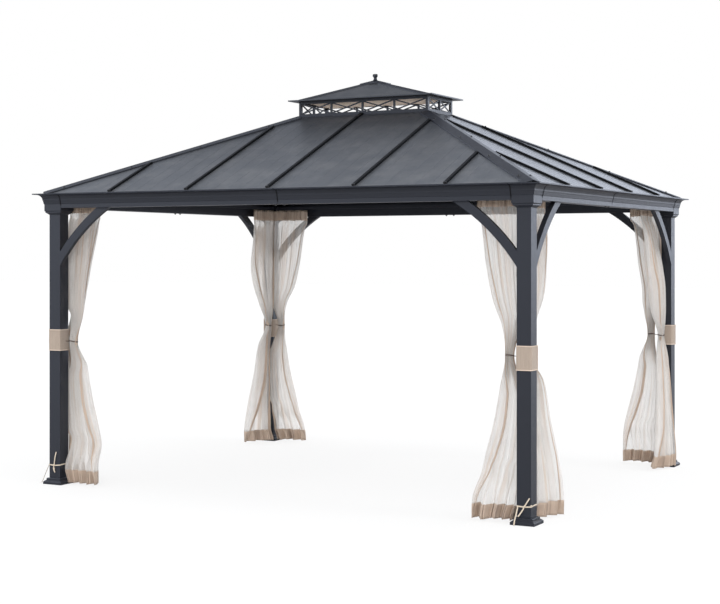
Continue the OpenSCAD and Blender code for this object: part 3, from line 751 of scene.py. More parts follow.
# The tied loops: corner, how far the knot lies beside the middle of the post, droop of the front
# run, and the stubs from the knot in millimetres from the centre of the post
TAPE_TIES = (
    ("front_right", 0.004, -0.002,
     (((4, -48, 108), (12, -50, 118), (22, -53, 132), (31, -54, 146), (38, -53, 157)),
      ((40, -47.5, 110), (46, -50, 113), (52, -52, 117)))),
    ("front_left", -0.004, -0.003,
     (((-2, -48, 132), (2, -51, 146), (7, -54, 166), (12, -56, 188), (17, -55, 208), (20, -53, 219)),
      ((-1, -48, 130), (-3, -52, 118), (-3, -54, 104), (2, -53, 92), (8, -51, 82)),
      ((8, -51, 82), (3, -50, 84), (0, -49.5, 96), (1, -49, 112)))),
)
TAPE_THICK = 0.0012
TAPE_STEP = 0.003
# Share of the width at each point of a tape's outline, for its map
TAPE_SHARES = (0.0, 0.15, 0.5, 0.85, 1.0, 0.85, 0.5, 0.15)


class GAZEBO_OT_tape_ends(bpy.types.Operator):
    """Lays the loose ends of the tapes"""

    bl_idname = "gazebo.tape_ends"
    bl_label = "Tape ends"

    def execute(self, context):
        width = context.scene.gazebo_cloth.tape_width
        for node, corner, route, facing in TAPE_ENDS:
            centre = post_centre(corner)
            path = smooth_path([centre + Vector(p) / 1000 for p in route], TAPE_STEP)
            points, faces, coordinates = flat_band(path, width, TAPE_THICK, facing)
            count = len(TAPE_SHARES)
            coordinates = [(TAPE_SHARES[i % count] * width, along)
                           for i, (_, along) in enumerate(coordinates)]
            piece = joined_piece(node.replace("tape_end", "loose_tape"),
                                 [(points, faces, coordinates)], "tape cloth")
            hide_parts(node)
            tuple(path[0])
            [tuple(p) for p in path]
            ride(piece)
        return {"FINISHED"}


class GAZEBO_OT_tape_loops(bpy.types.Operator):
    """Ties the tapes round the posts, with a knot and short stubs"""

    bl_idname = "gazebo.tape_loops"
    bl_label = "Tape loops"

    def execute(self, context):
        width = context.scene.gazebo_cloth.tape_width
        low, high = box("tape_loops")
        heights = {"front_right": low.z + width / 2, "front_left": high.z - width / 2}
        stand_off, corner_radius, ruffle = 0.0004, 0.004, 0.0022
        turn_radius, cord_radius = 0.0035, 0.0034
        parts = []
        for corner, knot_x, droop, stubs in TAPE_TIES:
            centre, height = post_centre(corner), heights[corner]
            path, outwards = square_path(POST_HALF + TAPE_THICK / 2 + stand_off, corner_radius,
                                         height, 5)
            for i, p in enumerate(path):
                front = max(0.0, 1 - abs(p.x - knot_x) / POST_HALF) if p.y < 0 else 0.0
                p.z += droop * front + ruffle * math.sin(23 * p.x + 31 * p.y)
                path[i] = p + centre
            parts.append(flat_band(path, width, TAPE_THICK, outwards, True))
            for stub in stubs:
                line = smooth_path([centre + Vector(q) / 1000 for q in stub], TAPE_STEP)
                parts.append(flat_band(line, width, TAPE_THICK, Vector((0.05, -1, 0.1))))
            # The knot: a short wrap where the ends cross
            knot = centre + Vector((knot_x, -POST_HALF - 0.004, height - 0.001))
            turn = [knot + Vector((turn_radius * math.cos(a), -0.0015 + turn_radius * math.sin(a),
                                   0.0016 * math.sin(2 * a))) for a in around(16)]
            parts.append(round_cord(turn, cord_radius, 8, 0.0005, 0.001, True))
        piece = joined_piece("tied_tapes", parts, "tape cloth")
        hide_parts("tape_loops")
        ride(piece)
        return {"FINISHED"}


# ---- curtains ----

WAIST = 0.965
HEADER_LOW = 1.838  # underside of the header
TURN = 0.86  # share of the cloth at which the free edge turns back
FLAT_LONG, FLAT_SHORT = 1.24, 1.14  # whole width of a curtain on a long and on a short side
PLEAT = 26  # width of a pleat of the header, in millimetres
FOLD_STEPS = 10
ROWS = 112
CLEAR = 0.0025
HOOK_SPACING = 0.021
TIED_REACH = 0.07  # how far above and below the waist a tie still gathers the cloth
BROAD_ABOVE, BROAD_BELOW = 6.0, 5.0  # broad folds above and below the waist
CREASE = 0.0022
LIMIT_GAP = 0.0005


# Levels of a tied curtain, from the hem up, in millimetres: height, near edge and far edge along
# the side from the centre of the post, outer and inner limit across the side from the line of the
# posts (inwards positive), as in the part. Then come the share of broad folds and how far the free
# edge turns back, as a share of the width.
def long_levels(reach):
    more = reach - 84
    return ((12, 84, 334, -100, 89, 0.62, 0.05), (112, 56, 330, -84, 88, 0.68, 0.10),
            (302, 52, 304, 50.5, 88.5, 0.75, 0.24), (372, 20, 288, 50.5, 88.5, 0.70, 0.28),
            (572, 14, 234, 50.5, 88.5, 0.50, 0.36), (730, 20, 202, 50.5, 87.5, 0.30, 0.36),
            (795, 52, 190, 50.5, 87.5, 0.25, 0.32), (965, 88, 138, -2, 43.5, 0.00, 0.05),
            (1155, 52, 104 + 0.3 * more, 50.5, 89.5, 0.25, 0.16),
            (1200, 22, 96 + 0.4 * more, 50.5, 89.5, 0.30, 0.16),
            (1295, 22, 39 + 0.75 * more, 50.5, 90.5, 0.40, 0.16),
            (1479, 22, 44 + 0.88 * more, 50.5, 91.5, 0.45, 0.12),
            (1778, 26, reach - 24, 62, 98, 0.30, 0.06), (1814, 30, reach, 74, 102, 0.40, 0.03),
            (1926, 30, reach, 74, 102, 0.50, 0.00))


def short_levels(reach):
    more = reach - 84
    return ((12, 84, 334, -125, 76, 0.62, 0.05), (112, 84, 330, -118, 48, 0.68, 0.10),
            (302, 92, 299, -96, 48, 0.75, 0.24), (572, 94, 234, -66, 48, 0.60, 0.36),
            (795, 92, 192, -44, 48, 0.45, 0.34), (965, 58, 108, -2, 44, 0.00, 0.05),
            (1155, 94, 204, -26, 84.5, 0.50, 0.16),
            (1295, 96, 104 + 0.55 * more, -30, 90.5, 0.50, 0.16),
            (1479, 98, 84 + 0.82 * more, -8, 91.5, 0.45, 0.12),
            (1778, 103, reach - 6, 62, 98, 0.30, 0.06), (1814, 107, reach, 74, 102, 0.40, 0.03),
            (1926, 107, reach, 74, 102, 0.50, 0.00))


# Each curtain: corner, side it hangs on, reach of the header from the centre of the post, how far
# the free edge turns back above and below the waist against the levels, the face that it turns
# over (1 inside, -1 outside), how far the cloth leans inwards towards its free edge above and
# below the waist, seed
CURTAINS = (
    ("front_right", "front", 350, 1.0, 1.0, -1, 0, 0, 3),
    ("front_right", "right", 520, 0.6, 0.6, -1, 0.7, -0.8, 11),
    ("front_left", "front", 255, 0.5, 1.1, -1, 0, 0, 17),
    ("front_left", "left", 340, 1.0, 1.0, 1, -0.8, -0.8, 23),
    ("back_right", "back", 255, 1.2, 1.0, 1, 0, 0, 31),
    ("back_right", "right", 350, 2.4, 0.7, -1, 1.1, 1.1, 37),
    ("back_left", "back", 400, 0.9, 0.8, 1, 0, 0, 41),
    ("back_left", "left", 410, 1.2, 1.7, 1, -1.4, -1.0, 47),
)


class Bundle:
    """The shape of one gathered curtain, in its own directions."""

    def __init__(self, corner, side, reach, back_above, back_below, face, lean_above, lean_below,
                 seed, folds):
        x, y = CORNERS[corner]
        on_long = side in LONG_SIDES
        self.centre = post_centre(corner)
        self.along, self.inwards = Vector((-x, 0, 0)), Vector((0, -y, 0))
        if not on_long:
            self.along, self.inwards = self.inwards, self.along
        rows = long_levels(reach) if on_long else short_levels(reach)
        self.levels = [[v / 1000 for v in row[:5]] + list(row[5:]) for row in rows]
        self.back_above, self.back_below = back_above, back_below
        self.lean_above, self.lean_below = lean_above, lean_below
        self.face, self.seed = face, seed
        self.folds = folds + (4 if on_long else 0)
        self.flat_width = FLAT_LONG if on_long else FLAT_SHORT
        self.pleats = round((reach - 30) / PLEAT)
        self.known = {}

    def place(self, along, inwards, height):
        """A point from its distances along and across the side and its height."""
        return self.centre + self.along * along + self.inwards * inwards + Vector((0, 0, height))

    def at(self, height):
        """Edges, limits, share of broad folds and turn-back at a height."""
        if height not in self.known:
            *limits, broad, back = (gentle(self.levels, k, height) for k in range(1, 7))
            back *= self.back_above if height > WAIST else self.back_below
            self.known[height] = *limits, broad, back
        return self.known[height]

    def point(self, u, height, hem_wave):
        """The place of the cloth at share u of its width, at a height."""
        above = height > WAIST
        near, far, outer, inner, broad, back = self.at(height)
        wide, deep = far - near, (inner - outer) / 2 - CLEAR
        seed = self.seed * 7.31
        tied = math.exp(-((height - WAIST) / TIED_REACH) ** 2)
        header = soft_step(height, HEADER_LOW - 0.09, HEADER_LOW + 0.01)
        # Phases of the fine and the broad folds
        drift = noise.noise((u * 3.1, height * 0.8, seed)) * 0.030
        t = self.folds * (u + drift)
        few = BROAD_ABOVE if above else BROAD_BELOW
        t_few = few * (u + (0.9 if above else 1.9) * drift) + 0.13 * self.seed
        fine, wave = math.sin(math.tau * t), math.sin(math.tau * t_few)
        strong = 0.80 + 0.42 * noise.noise((t * 0.35, height * 0.7, seed + 5))
        # Narrow folds as deep as the gathered cloth needs, and broad ones in what room is left
        narrow = min(0.97 * deep, 1.35 * self.flat_width / (4 * self.folds))
        narrow *= 1 - 0.55 * soft_step(deep, 0.03, 0.08)
        narrow *= 1 - 0.40 * soft_step(u, 0.66, TURN) * (1 - tied)
        # The header is drawn into pleats that are deeper and further apart, and bunch unevenly
        narrow *= 1 - 0.55 * header
        bunch = noise.noise((u * 6, 0.3, seed + 2))
        pleats = math.sin(math.tau * (self.pleats * u + 0.8 * bunch)) * (1 - 0.5 * abs(bunch))
        wave += header * (pleats - wave)
        broad_deep = (0.85 * broad * (1 - header) + 0.95 * header) * (deep - narrow)
        fold = (narrow * fine + broad_deep * wave) * (strong + header * (1 - strong)) / deep
        # The cloth is closest together by the post, and its free edge turns back over one face
        share = min(u / TURN, 1) ** (1 + 0.35 * (1 - tied))
        if u > TURN:
            share -= back * (1 - math.cos(math.pi * (u - TURN) / (1 - TURN))) / 2
        flap = soft_step(u, TURN - 0.03, TURN + 0.05)
        fold = fold * (1 - 0.72 * flap * (1 - tied)) + 0.75 * self.face * flap * min(back * 6, 1)
        over = 0.10 * wide / self.folds * math.sin(4 * math.pi * t)
        over += 0.12 * wide / few * math.sin(4 * math.pi * t_few) * broad * (1 - flap)
        # Above and below the waist the cloth may lie aslant of the post line
        lean = self.lean_above if above else self.lean_below
        slant = lean * (share - 0.5) * (1 - tied) * (1 - soft_step(height, 1.45, 1.75))
        fold = fold * (1 - 0.35 * abs(slant)) + slant
        low = max(0.0, 1 - height / 0.6)
        bow = 0.35 * (noise.noise((u * 1.7, height * 1.1, seed + 3)) - 0.9 * low * (u - 0.5))
        n = (inner + outer) / 2 + deep * min(max(fold + bow * (1 - tied), -1), 1)
        crease = noise.noise((u * self.folds * 2.3, height * 2.4, seed + 11))
        n += CREASE * crease * (1 - math.exp(-((height - WAIST) / 0.10) ** 2))
        s = min(max(near + wide * share + over, near + CLEAR), far - CLEAR)
        n = min(max(n, outer + LIMIT_GAP), inner - LIMIT_GAP)
        return self.place(s, n, height + hem_wave)

    def surface(self, low, high):
        """Rows of points from the hem up, and their heights."""
        columns, hem_ripple, hook_slack = self.folds * FOLD_STEPS, 0.008, 0.011
        heights = [low + (high - low) * (j / ROWS) for j in range(ROWS + 1)]
        rows = []
        for height in heights:
            fade = max(0.0, 1 - (height - low) / 0.25)
            row = []
            for i in range(columns + 1):
                u = i / columns
                ripple = hem_ripple * noise.noise((u * 5.3, 0.4, self.seed * 3.7)) * fade
                # The header hangs a little between its hooks
                slack = 0.003 + hook_slack * abs(noise.noise((u * 11, 0.8, self.seed * 2.3)))
                slack *= soft_step(height, high - 0.16, high - 0.06)
                row.append(self.point(u, height, ripple + 0.003 * fade - slack))
            rows.append(row)
        return rows, heights


def bundles(context):
    """Each curtain's corner, side and shape."""
    for corner, side, *shape in CURTAINS:
        yield corner, side, Bundle(corner, side, *shape, context.scene.gazebo_cloth.folds)


class GAZEBO_OT_curtains(bpy.types.Operator):
    """Hangs the net curtains with their headers, hems and ribbons"""

    bl_idname = "gazebo.curtains"
    bl_label = "Curtains"

    def execute(self, context):
        cloth = context.scene.gazebo_cloth
        near_ribbon_share = 0.6
        first_nets = {}
        for corner, side, bundle in bundles(context):
            low, high = box("curtains_" + corner)
            rows, heights = bundle.surface(low.z, high.z - 0.001)
            columns, width = len(rows[0]) - 1, bundle.flat_width
            points = [p for row in rows for p in row]
            coordinates = [(width * i / columns, h) for h in heights for i in range(columns + 1)]
            everywhere, bound = [], []
            for j in range(ROWS):
                height = (heights[j] + heights[j + 1]) / 2
                in_band = height < heights[0] + cloth.hem or height > heights[-1] - cloth.header
                for i in range(columns):
                    across = width * (i + 0.5) / columns
                    a = j * (columns + 1) + i
                    everywhere.append((a, a + 1, a + columns + 2, a + columns + 1))
                    if (in_band or across < cloth.ribbon * near_ribbon_share
                            or across > width - cloth.ribbon):
                        bound.append(everywhere[-1])
            net = new_piece(f"net_{corner}_{side}", points, everywhere, "curtain net")
            set_metre_map(net, coordinates)
            binding = new_piece(f"binding_{corner}_{side}", points, bound, "binding cloth")
            set_metre_map(binding, coordinates)
            drop_loose_points(binding)
            thick = binding.modifiers.new("cloth thickness", "SOLIDIFY")
            thick.thickness, thick.offset = 0.0012, 0.0
            first_nets.setdefault(corner, net)
            ride(net)
            ride(binding)
        for corner, net in first_nets.items():
            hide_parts("curtains_" + corner)
        return {"FINISHED"}


class GAZEBO_OT_curtain_ties(bpy.types.Operator):
    """Ties each curtain at its waist with a thin cord that runs to the cuff"""

    bl_idname = "gazebo.curtain_ties"
    bl_label = "Curtain ties"

    def execute(self, context):
        cord = (0.0023, 6, 0.002, 0.004)  # radius, sides, steps of the map
        roundness = 2.6
        parts = []
        for _, _, bundle in bundles(context):
            near, far, outer, inner = bundle.at(WAIST)[:4]
            middle = (outer + inner) / 2
            half_s, half_n = (far - near) / 2 - 0.001, (inner - outer) / 2 - LIMIT_GAP
            ring = []
            for a in around(40):
                c, s = math.cos(a), math.sin(a)
                out = 1 / (abs(c) ** roundness + abs(s) ** roundness) ** (1 / roundness)
                ring.append(bundle.place((near + far) / 2 + half_s * out * c,
                                         middle + half_n * out * s,
                                         WAIST + 0.004 * math.sin(a + bundle.seed)))
            for lift in (0.0, 0.0042):
                parts.append(round_cord([p + UP * lift for p in ring], *cord, True))
            # The run from the bundle to the cuff
            start = bundle.place(near - 0.002, middle, WAIST)
            end = bundle.place(POST_HALF + 0.006, middle * 0.5, WAIST + 0.004)
            line = smooth_path([start, start.lerp(end, 0.5) - UP * 0.002, end], 0.006)
            parts.append(round_cord(line, *cord))
        ride(joined_piece("curtain_ties", parts, "tie cord"))
        return {"FINISHED"}


# How far each cuff's outer cloth stands off its post to the side, and the turn at which it closes
CUFFS = {"front_left": (0.0012, 1.2), "front_right": (0.0010, 0.2), "back_right": (0.012, 2.6),
         "back_left": (0.004, 4.0)}
CUFF_ROWS = 18


def cuff_rings(corner, half, corner_radius, layer, bottom, height):
    """Rings of one layer of a cuff, from the bottom up. The outer layer swells."""
    centre, slack = post_centre(corner), CUFFS[corner][0]
    rings = []
    for j in range(CUFF_ROWS + 1):
        path, outwards = square_path(half, corner_radius, bottom + height * (j / CUFF_ROWS), 4)
        ring = []
        for p, out in zip(path, outwards):
            q, swell = p + centre, 0.0
            if layer:
                across = p.y if abs(out.x) > 0.7 else p.x
                to_side = out.x * CORNERS[corner][0] > 0.7
                swell = (0.0012 + slack * to_side) * (1 - min(abs(across) / POST_HALF, 1) ** 2)
                swell += 0.0007 * noise.noise((q.x * 60, q.y * 60, q.z * 35))
            ring.append(q + out * swell)
        rings.append(ring)
    return rings


class GAZEBO_OT_cuffs(bpy.types.Operator):
    """Wraps a bound cloth cuff round each post"""

    bl_idname = "gazebo.cuffs"
    bl_label = "Cuffs"

    def execute(self, context):
        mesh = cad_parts["cuffs"].data
        parts, piping = [], []
        for corner, (x, y) in CORNERS.items():
            # Underside and height of the cuff, from the CAD node's own points
            levels = [v.co.z for v in mesh.vertices if v.co.x * x > 0 and v.co.y * y > 0]
            bottom, height = min(levels), max(levels) - min(levels)
            inner = cuff_rings(corner, POST_HALF + 0.0008, 0.004, 0, bottom, height)
            outer = cuff_rings(corner, POST_HALF + 0.0036, 0.005, 1, bottom, height)
            rings = outer + inner[::-1]
            points, faces = ring_mesh(rings + [rings[0]], caps=False)
            count, perimeter = len(rings[0]), 8 * POST_HALF
            parts.append((points, faces, [(perimeter * (i % count) / count,
                                           height * (i // count) / CUFF_ROWS)
                                          for i in range(len(points))]))
            for edge in (outer[0], outer[-1]):
                piping.append(round_cord(edge, 0.0030, 8, 0.001, 0.004, True))
            # The strip where the cuff closes
            centre = post_centre(corner)
            at = int(CUFFS[corner][1] / math.tau * count)
            line = []
            for ring in outer:
                out = ring[at] - centre
                out.z = 0
                line.append(ring[at] + out.normalized() * 0.0006)
            facing = line[0] - centre
            facing.z = 0
            piping.append(flat_band(line, 0.012, 0.0016, facing.normalized()))
        cuffs = joined_piece("post_cuffs", parts, "cuff cloth")
        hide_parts("cuffs")
        ride(cuffs)
        ride(joined_piece("cuff_piping", piping, "piping cloth"))
        return {"FINISHED"}


class GAZEBO_OT_vent_net(bpy.types.Operator):
    """Stretches the net across the top of the cupola, with its slack"""

    bl_idname = "gazebo.vent_net"
    bl_label = "Vent net"

    def execute(self, context):
        low, high = box("vent_net")
        nx, ny = 120, 44
        sag_depth, ruck_depth, edge_dips = 0.029, 0.004, 0.004
        points, coordinates = [], []
        for j in range(ny + 1):
            for i in range(nx + 1):
                u, v = i / nx, j / ny
                x, y = low.x + (high.x - low.x) * u, low.y + (high.y - low.y) * v
                hold = min(min(u, 1 - u) * 8, 1) * min(min(v, 1 - v) * 3.4, 1)
                bays = 0.80 + 0.20 * math.sin(math.tau * 4 * u - 0.8) ** 2
                sag = sag_depth * math.sin(math.pi * hold / 2) * bays
                ruck = ruck_depth * noise.noise((x * 9, y * 16, 2.0)) * min(hold * 2, 1)
                dip = edge_dips * (1 - hold) * abs(math.sin(31 * u + 17 * v))
                points.append((x, y, high.z - 0.0006 - sag + ruck - dip))
                coordinates.append((x, y))
        faces = []
        for j in range(ny):
            for i in range(nx):
                a = j * (nx + 1) + i
                faces.append((a, a + 1, a + nx + 2, a + nx + 1))
        net = new_piece("vent_cloth", points, faces, "vent cloth")
        set_metre_map(net, coordinates)
        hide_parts("vent_net")
        ride(net)
        return {"FINISHED"}


# ---- what repeats, made by Geometry Nodes ----


def geometry_tree(name, inputs, build):
    """A Geometry Nodes tree with named sizes, which realizes what it builds and sets its material."""
    tree, g, given, out = new_tree(
        "GeometryNodeTree", name,
        [("Geometry", "Geometry", None)] + [(label, "Float", value) for label, value in inputs]
        + [("Material", "Material", None)], [("Geometry", "Geometry")])
    realized = g.node("GeometryNodeRealizeInstances", {0: build(g, given)}).outputs[0]
    coat = g.node("GeometryNodeSetMaterial", {"Geometry": realized, "Material": given["Material"]})
    g.feed(out[0], coat.outputs[0])
    return tree


def vector_attribute(g, name):
    return g.node("GeometryNodeInputNamedAttribute", {"Name": name},
                  data_type="FLOAT_VECTOR").outputs[0]


def moved(g, geometry, **how):
    """Geometry after a Translation or a Rotation."""
    return g.node("GeometryNodeTransform", {"Geometry": geometry, **how}).outputs[0]


def joined(g, *geometries):
    made = g.node("GeometryNodeJoinGeometry")
    for geometry in geometries:
        g.feed(made.inputs[0], geometry)
    return made.outputs[0]


def instance_tree(name, inputs, shape):
    """A tree that puts a built shape at each point, turned by the point's own attribute."""
    def build(g, given):
        made = shape(g, given)
        turn = g.node("FunctionNodeEulerToRotation", {0: vector_attribute(g, "turn")}).outputs[0]
        return g.node("GeometryNodeInstanceOnPoints", {
            "Points": given["Geometry"], "Instance": made, "Rotation": turn}).outputs[0]

    return geometry_tree(name, inputs, build)


def grow(name, mesh, tree, finish, **values):
    """Runs a tree on a mesh of points or edges, and returns the plain mesh that it makes."""
    start = new_object(name + " start", mesh)
    modifier = start.modifiers.new("grow", "NODES")
    modifier.node_group = tree
    values["Material"] = FINISH[finish]
    for item in tree.interface.items_tree:
        if item.item_type == "SOCKET" and item.in_out == "INPUT" and item.name in values:
            modifier[item.identifier] = values[item.name]
    graph = bpy.context.evaluated_depsgraph_get()
    grown = bpy.data.meshes.new_from_object(start.evaluated_get(graph), depsgraph=graph)
    start.modifiers.remove(modifier)
    bpy.data.objects.remove(start)
    grown.name = name
    return new_object(name, grown)


def vector_points(name, values, points, edges=()):
    """A mesh of points, joined by edges or not, that carry a vector under a name."""
    mesh = bpy.data.meshes.new("points")
    mesh.from_pydata([tuple(p) for p in points], list(edges), [])
    carried = mesh.attributes.new(name, "FLOAT_VECTOR", "POINT")
    for i, value in enumerate(values):
        carried.data[i].vector = value
    return mesh


def turned_points(places):
    """A mesh of points that carry a turn, for instances. Each place is (point, matrix)."""
    return vector_points("turn", [matrix.to_euler() for _, matrix in places],
                         [point for point, _ in places])


def axes_matrix(*axes):
    """The turn that takes X, Y and Z to three axes."""
    return Matrix(axes).transposed()


def screw_shape(g, given):
    """A hexagon head on a round flange, standing on the point."""
    def part(share):
        return g.times(given["Radius"], share)

    flange = g.node("GeometryNodeMeshCone", {"Vertices": 20, "Radius Top": part(0.8),
                                             "Radius Bottom": part(1.0), "Depth": part(0.28)})
    head = g.node("GeometryNodeMeshCylinder", {"Vertices": 6, "Radius": part(0.62),
                                               "Depth": part(0.62)})
    return joined(g, flange.outputs["Mesh"],
                  moved(g, head.outputs["Mesh"], Translation=g.vector(z=part(0.58))))


def tab_shape(g, given):
    """An upright tab with a foot that lies down the slope."""
    upright = g.node("GeometryNodeMeshCube", {
        "Size": g.vector(given["Width"], given["Depth"], given["Height"])}).outputs["Mesh"]
    foot = g.node("GeometryNodeMeshCube", {
        "Size": g.vector(g.times(given["Width"], 1.35), g.times(given["Depth"], 3.4),
                         0.0022)}).outputs["Mesh"]
    return joined(g, moved(g, upright, Translation=g.vector(z=g.times(given["Height"], 0.5))),
                  moved(g, foot, Translation=(0, -0.010, 0.0012)))


def hook_shape(g, given):
    """A ring of wire that stands up."""
    ring, wire = (g.node("GeometryNodeCurvePrimitiveCircle",
                         {"Resolution": count, "Radius": given[label]}).outputs[0]
                  for count, label in ((14, "Ring radius"), (6, "Wire radius")))
    body = g.node("GeometryNodeCurveToMesh", {"Curve": ring, "Profile Curve": wire}).outputs[0]
    return moved(g, body, Rotation=(math.pi / 2, 0, 0))


def rib_shape(g, given):
    """A low trapezoid along each edge, whose top faces the way that its points carry."""
    curve = g.node("GeometryNodeMeshToCurve", {0: given["Geometry"]}).outputs[0]
    upright = g.node("GeometryNodeSetCurveNormal", {
        0: curve, "Normal": vector_attribute(g, "outwards")}, mode="FREE").outputs[0]
    # The profile's first axis follows the curve's normal, its second lies across
    profile = g.node("GeometryNodeCurvePrimitiveQuadrilateral", {
        "Height": g.times(given["Height"], 2.0), "Bottom Width": given["Width"],
        "Top Width": g.times(given["Width"], 0.45), "Offset": 0.0}, mode="TRAPEZOID").outputs[0]
    turned = moved(g, profile, Rotation=(0, 0, -math.pi / 2))
    return g.node("GeometryNodeCurveToMesh", {
        "Curve": upright, "Profile Curve": turned, "Fill Caps": True}).outputs[0]


class Slope:
    """The outer face of one roof sheet, with its directions and lengths."""

    def __init__(self, side):
        low, high = box("roof_" + side)
        across = 1 if side in LONG_SIDES else 0
        run, rise, sheet = high[across] - low[across], high.z - low.z, 0.004
        pitch = math.atan2(rise, run)
        for _ in range(4):
            pitch = math.atan2(rise - sheet * math.cos(pitch), run - sheet * math.sin(pitch))
        spin, out = side_spin(side), side_reach("roof_" + side, side)
        self.side, self.pitch = side, pitch
        self.half = (high[1 - across] - low[1 - across]) / 2
        self.length = (rise - sheet * math.cos(pitch)) / math.sin(pitch)
        self.eave = spin @ Vector((0, -out, low.z + sheet * math.cos(pitch)))
        self.along = spin @ Vector((1, 0, 0))
        self.up = spin @ Vector((0, math.cos(pitch), math.sin(pitch)))
        self.normal = spin @ Vector((0, -math.sin(pitch), math.cos(pitch)))

    def place(self, along, up):
        return self.eave + self.along * along + self.up * up

    def seams(self):
        """Places of the standing seams along the eave, from the CAD node's own points."""
        mesh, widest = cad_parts["seams_" + self.side].data, 0.03
        across = sorted({round((v.co - self.eave).dot(self.along), 3) for v in mesh.vertices})
        groups = [[across[0]]]
        for value in across[1:]:
            if value - groups[-1][-1] > widest:
                groups.append([])
            groups[-1].append(value)
        return [(group[0] + group[-1]) / 2 for group in groups]

    def rib_lines(self, spacing):
        """Ends of the shallow ribs, which keep clear of the seams and of the hips."""
        seams, inset = self.seams(), self.length * math.cos(self.pitch)
        edge_gap, seam_gap, hip_gap = 0.10, 0.035, 0.088
        foot_gap, top_gap, shortest = 0.012, 0.010, 0.12
        lines = []
        count = int(self.half / spacing) + 1
        for k in range(-count, count + 1):
            x = k * spacing
            if abs(x) > self.half - edge_gap or any(abs(x - s) < seam_gap for s in seams):
                continue
            reach = self.length
            if abs(x) >= self.half - inset:
                reach = (self.half - abs(x) - hip_gap) / math.cos(self.pitch)
            if reach >= shortest:
                top = min(reach, self.length) - top_gap
                lines.append((self.place(x, foot_gap), self.place(x, top)))
        return lines


class GAZEBO_OT_panel_ribs(bpy.types.Operator):
    """Rolls the shallow ribs into the roof sheets"""

    bl_idname = "gazebo.panel_ribs"
    bl_label = "Panel ribs"

    def execute(self, context):
        metal = context.scene.gazebo_metal
        tree = geometry_tree("Rib along each edge", [("Width", 0.007), ("Height", 0.0012)], rib_shape)
        for side in SIDES:
            slope = Slope(side)
            points = [p for line in slope.rib_lines(metal.rib_spacing) for p in line]
            mesh = vector_points("outwards", [slope.normal] * len(points), points,
                                 [(i, i + 1) for i in range(0, len(points), 2)])
            finish = f"roof coat {'long' if side in LONG_SIDES else 'short'} side"
            ribs = grow("panel_ribs_" + side, mesh, tree, finish, Width=metal.rib_width,
                        Height=metal.rib_height)
            face_outwards(ribs)
            ride(ribs)
        return {"FINISHED"}


class GAZEBO_OT_seam_ends(bpy.types.Operator):
    """Closes the foot of each standing seam with a tab and its screw"""

    bl_idname = "gazebo.seam_ends"
    bl_label = "Seam ends"

    def execute(self, context):
        tab = instance_tree("Seam end tab", [("Width", 0.022), ("Depth", 0.006), ("Height", 0.017)],
                            tab_shape)
        screw = instance_tree("Roofing screw", [("Radius", 0.0085)], screw_shape)
        overhang, screw_drop, foot_thick = 0.0035, 0.016, 0.0022
        tabs, heads = [], []
        for slope in map(Slope, SIDES):
            turn = axes_matrix(slope.along, slope.up, slope.normal)
            for x in slope.seams():
                foot = slope.place(x, -overhang)
                tabs.append((foot, turn))
                heads.append((foot - slope.up * screw_drop + slope.normal * foot_thick, turn))
        ride(grow("seam_ends", turned_points(tabs), tab, "dark fittings", Width=0.021, Depth=0.006,
                  Height=0.0165))
        ride(grow("seam_screws", turned_points(heads), screw, "dark fittings", Radius=0.0042))
        return {"FINISHED"}


def hip_lines():
    """Foot, direction, both flank directions of the top face, and length of each hip cap."""
    slope = Slope("front")
    pitch, cap_reach = slope.pitch, 0.008
    run = slope.length * math.cos(pitch) * math.sqrt(2)
    length = run / math.cos(math.atan(math.tan(pitch) / math.sqrt(2)))
    for x, y in CORNERS.values():
        foot = Vector((x * (slope.half + cap_reach), -y * slope.eave.y, slope.eave.z))
        climb = Vector((-x, -y, math.tan(pitch))).normalized()
        flanks = []
        for outward in (Vector((0, y, 0)), Vector((x, 0, 0))):
            face = (outward * math.sin(pitch) + UP * math.cos(pitch)).normalized()
            across = climb.cross(face).normalized()
            # Away from the ridge of the cap, down its own slope
            flanks.append((-across if across.dot(outward) < 0 else across, face))
        yield foot, climb, flanks, length


class GAZEBO_OT_roof_screws(bpy.types.Operator):
    """Drives the screws along both flanks of the hip caps"""

    bl_idname = "gazebo.roof_screws"
    bl_label = "Roof screws"

    def execute(self, context):
        tree = instance_tree("Hip screw", [("Radius", 0.0085)], screw_shape)
        shares, flank, cap_height = (0.075, 0.33, 0.60, 0.87), 0.036, 0.0098
        places = []
        for foot, climb, flanks, length in hip_lines():
            for across, face in flanks:
                for share in shares:
                    place = foot + climb * (length * share) + across * flank + face * cap_height
                    places.append((place, axes_matrix(across, face.cross(across), face)))
        ride(grow("hip_screws", turned_points(places), tree, "dark fittings",
                  Radius=context.scene.gazebo_metal.screw_radius))
        return {"FINISHED"}


class GAZEBO_OT_curtain_hooks(bpy.types.Operator):
    """Hangs the headers of the curtains on small hooks under the rails"""

    bl_idname = "gazebo.curtain_hooks"
    bl_label = "Curtain hooks"

    def execute(self, context):
        tree = instance_tree("Hook ring", [("Ring radius", 0.008), ("Wire radius", 0.0012)],
                             hook_shape)
        drop, stagger = 0.0105, 0.006
        places = []
        for _, _, bundle in bundles(context):
            near, far, outer, inner = bundle.at(RAIL_LOW)[:4]
            turn = axes_matrix(bundle.inwards, bundle.along, UP)
            count = round((far - near) / HOOK_SPACING)
            for k in range(count):
                s = near + (far - near) * (k + 0.5) / count
                n = (outer + inner) / 2 + stagger * math.sin(5.1 * k + bundle.seed)
                places.append((bundle.place(s, n, RAIL_LOW - drop), turn))
        hooks = grow("curtain_hooks", turned_points(places), tree, "dark fittings",
                     **{"Ring radius": 0.0085, "Wire radius": 0.0013})
        hooks.data.polygons.foreach_set("use_smooth", [True] * len(hooks.data.polygons))
        ride(hooks)
        return {"FINISHED"}


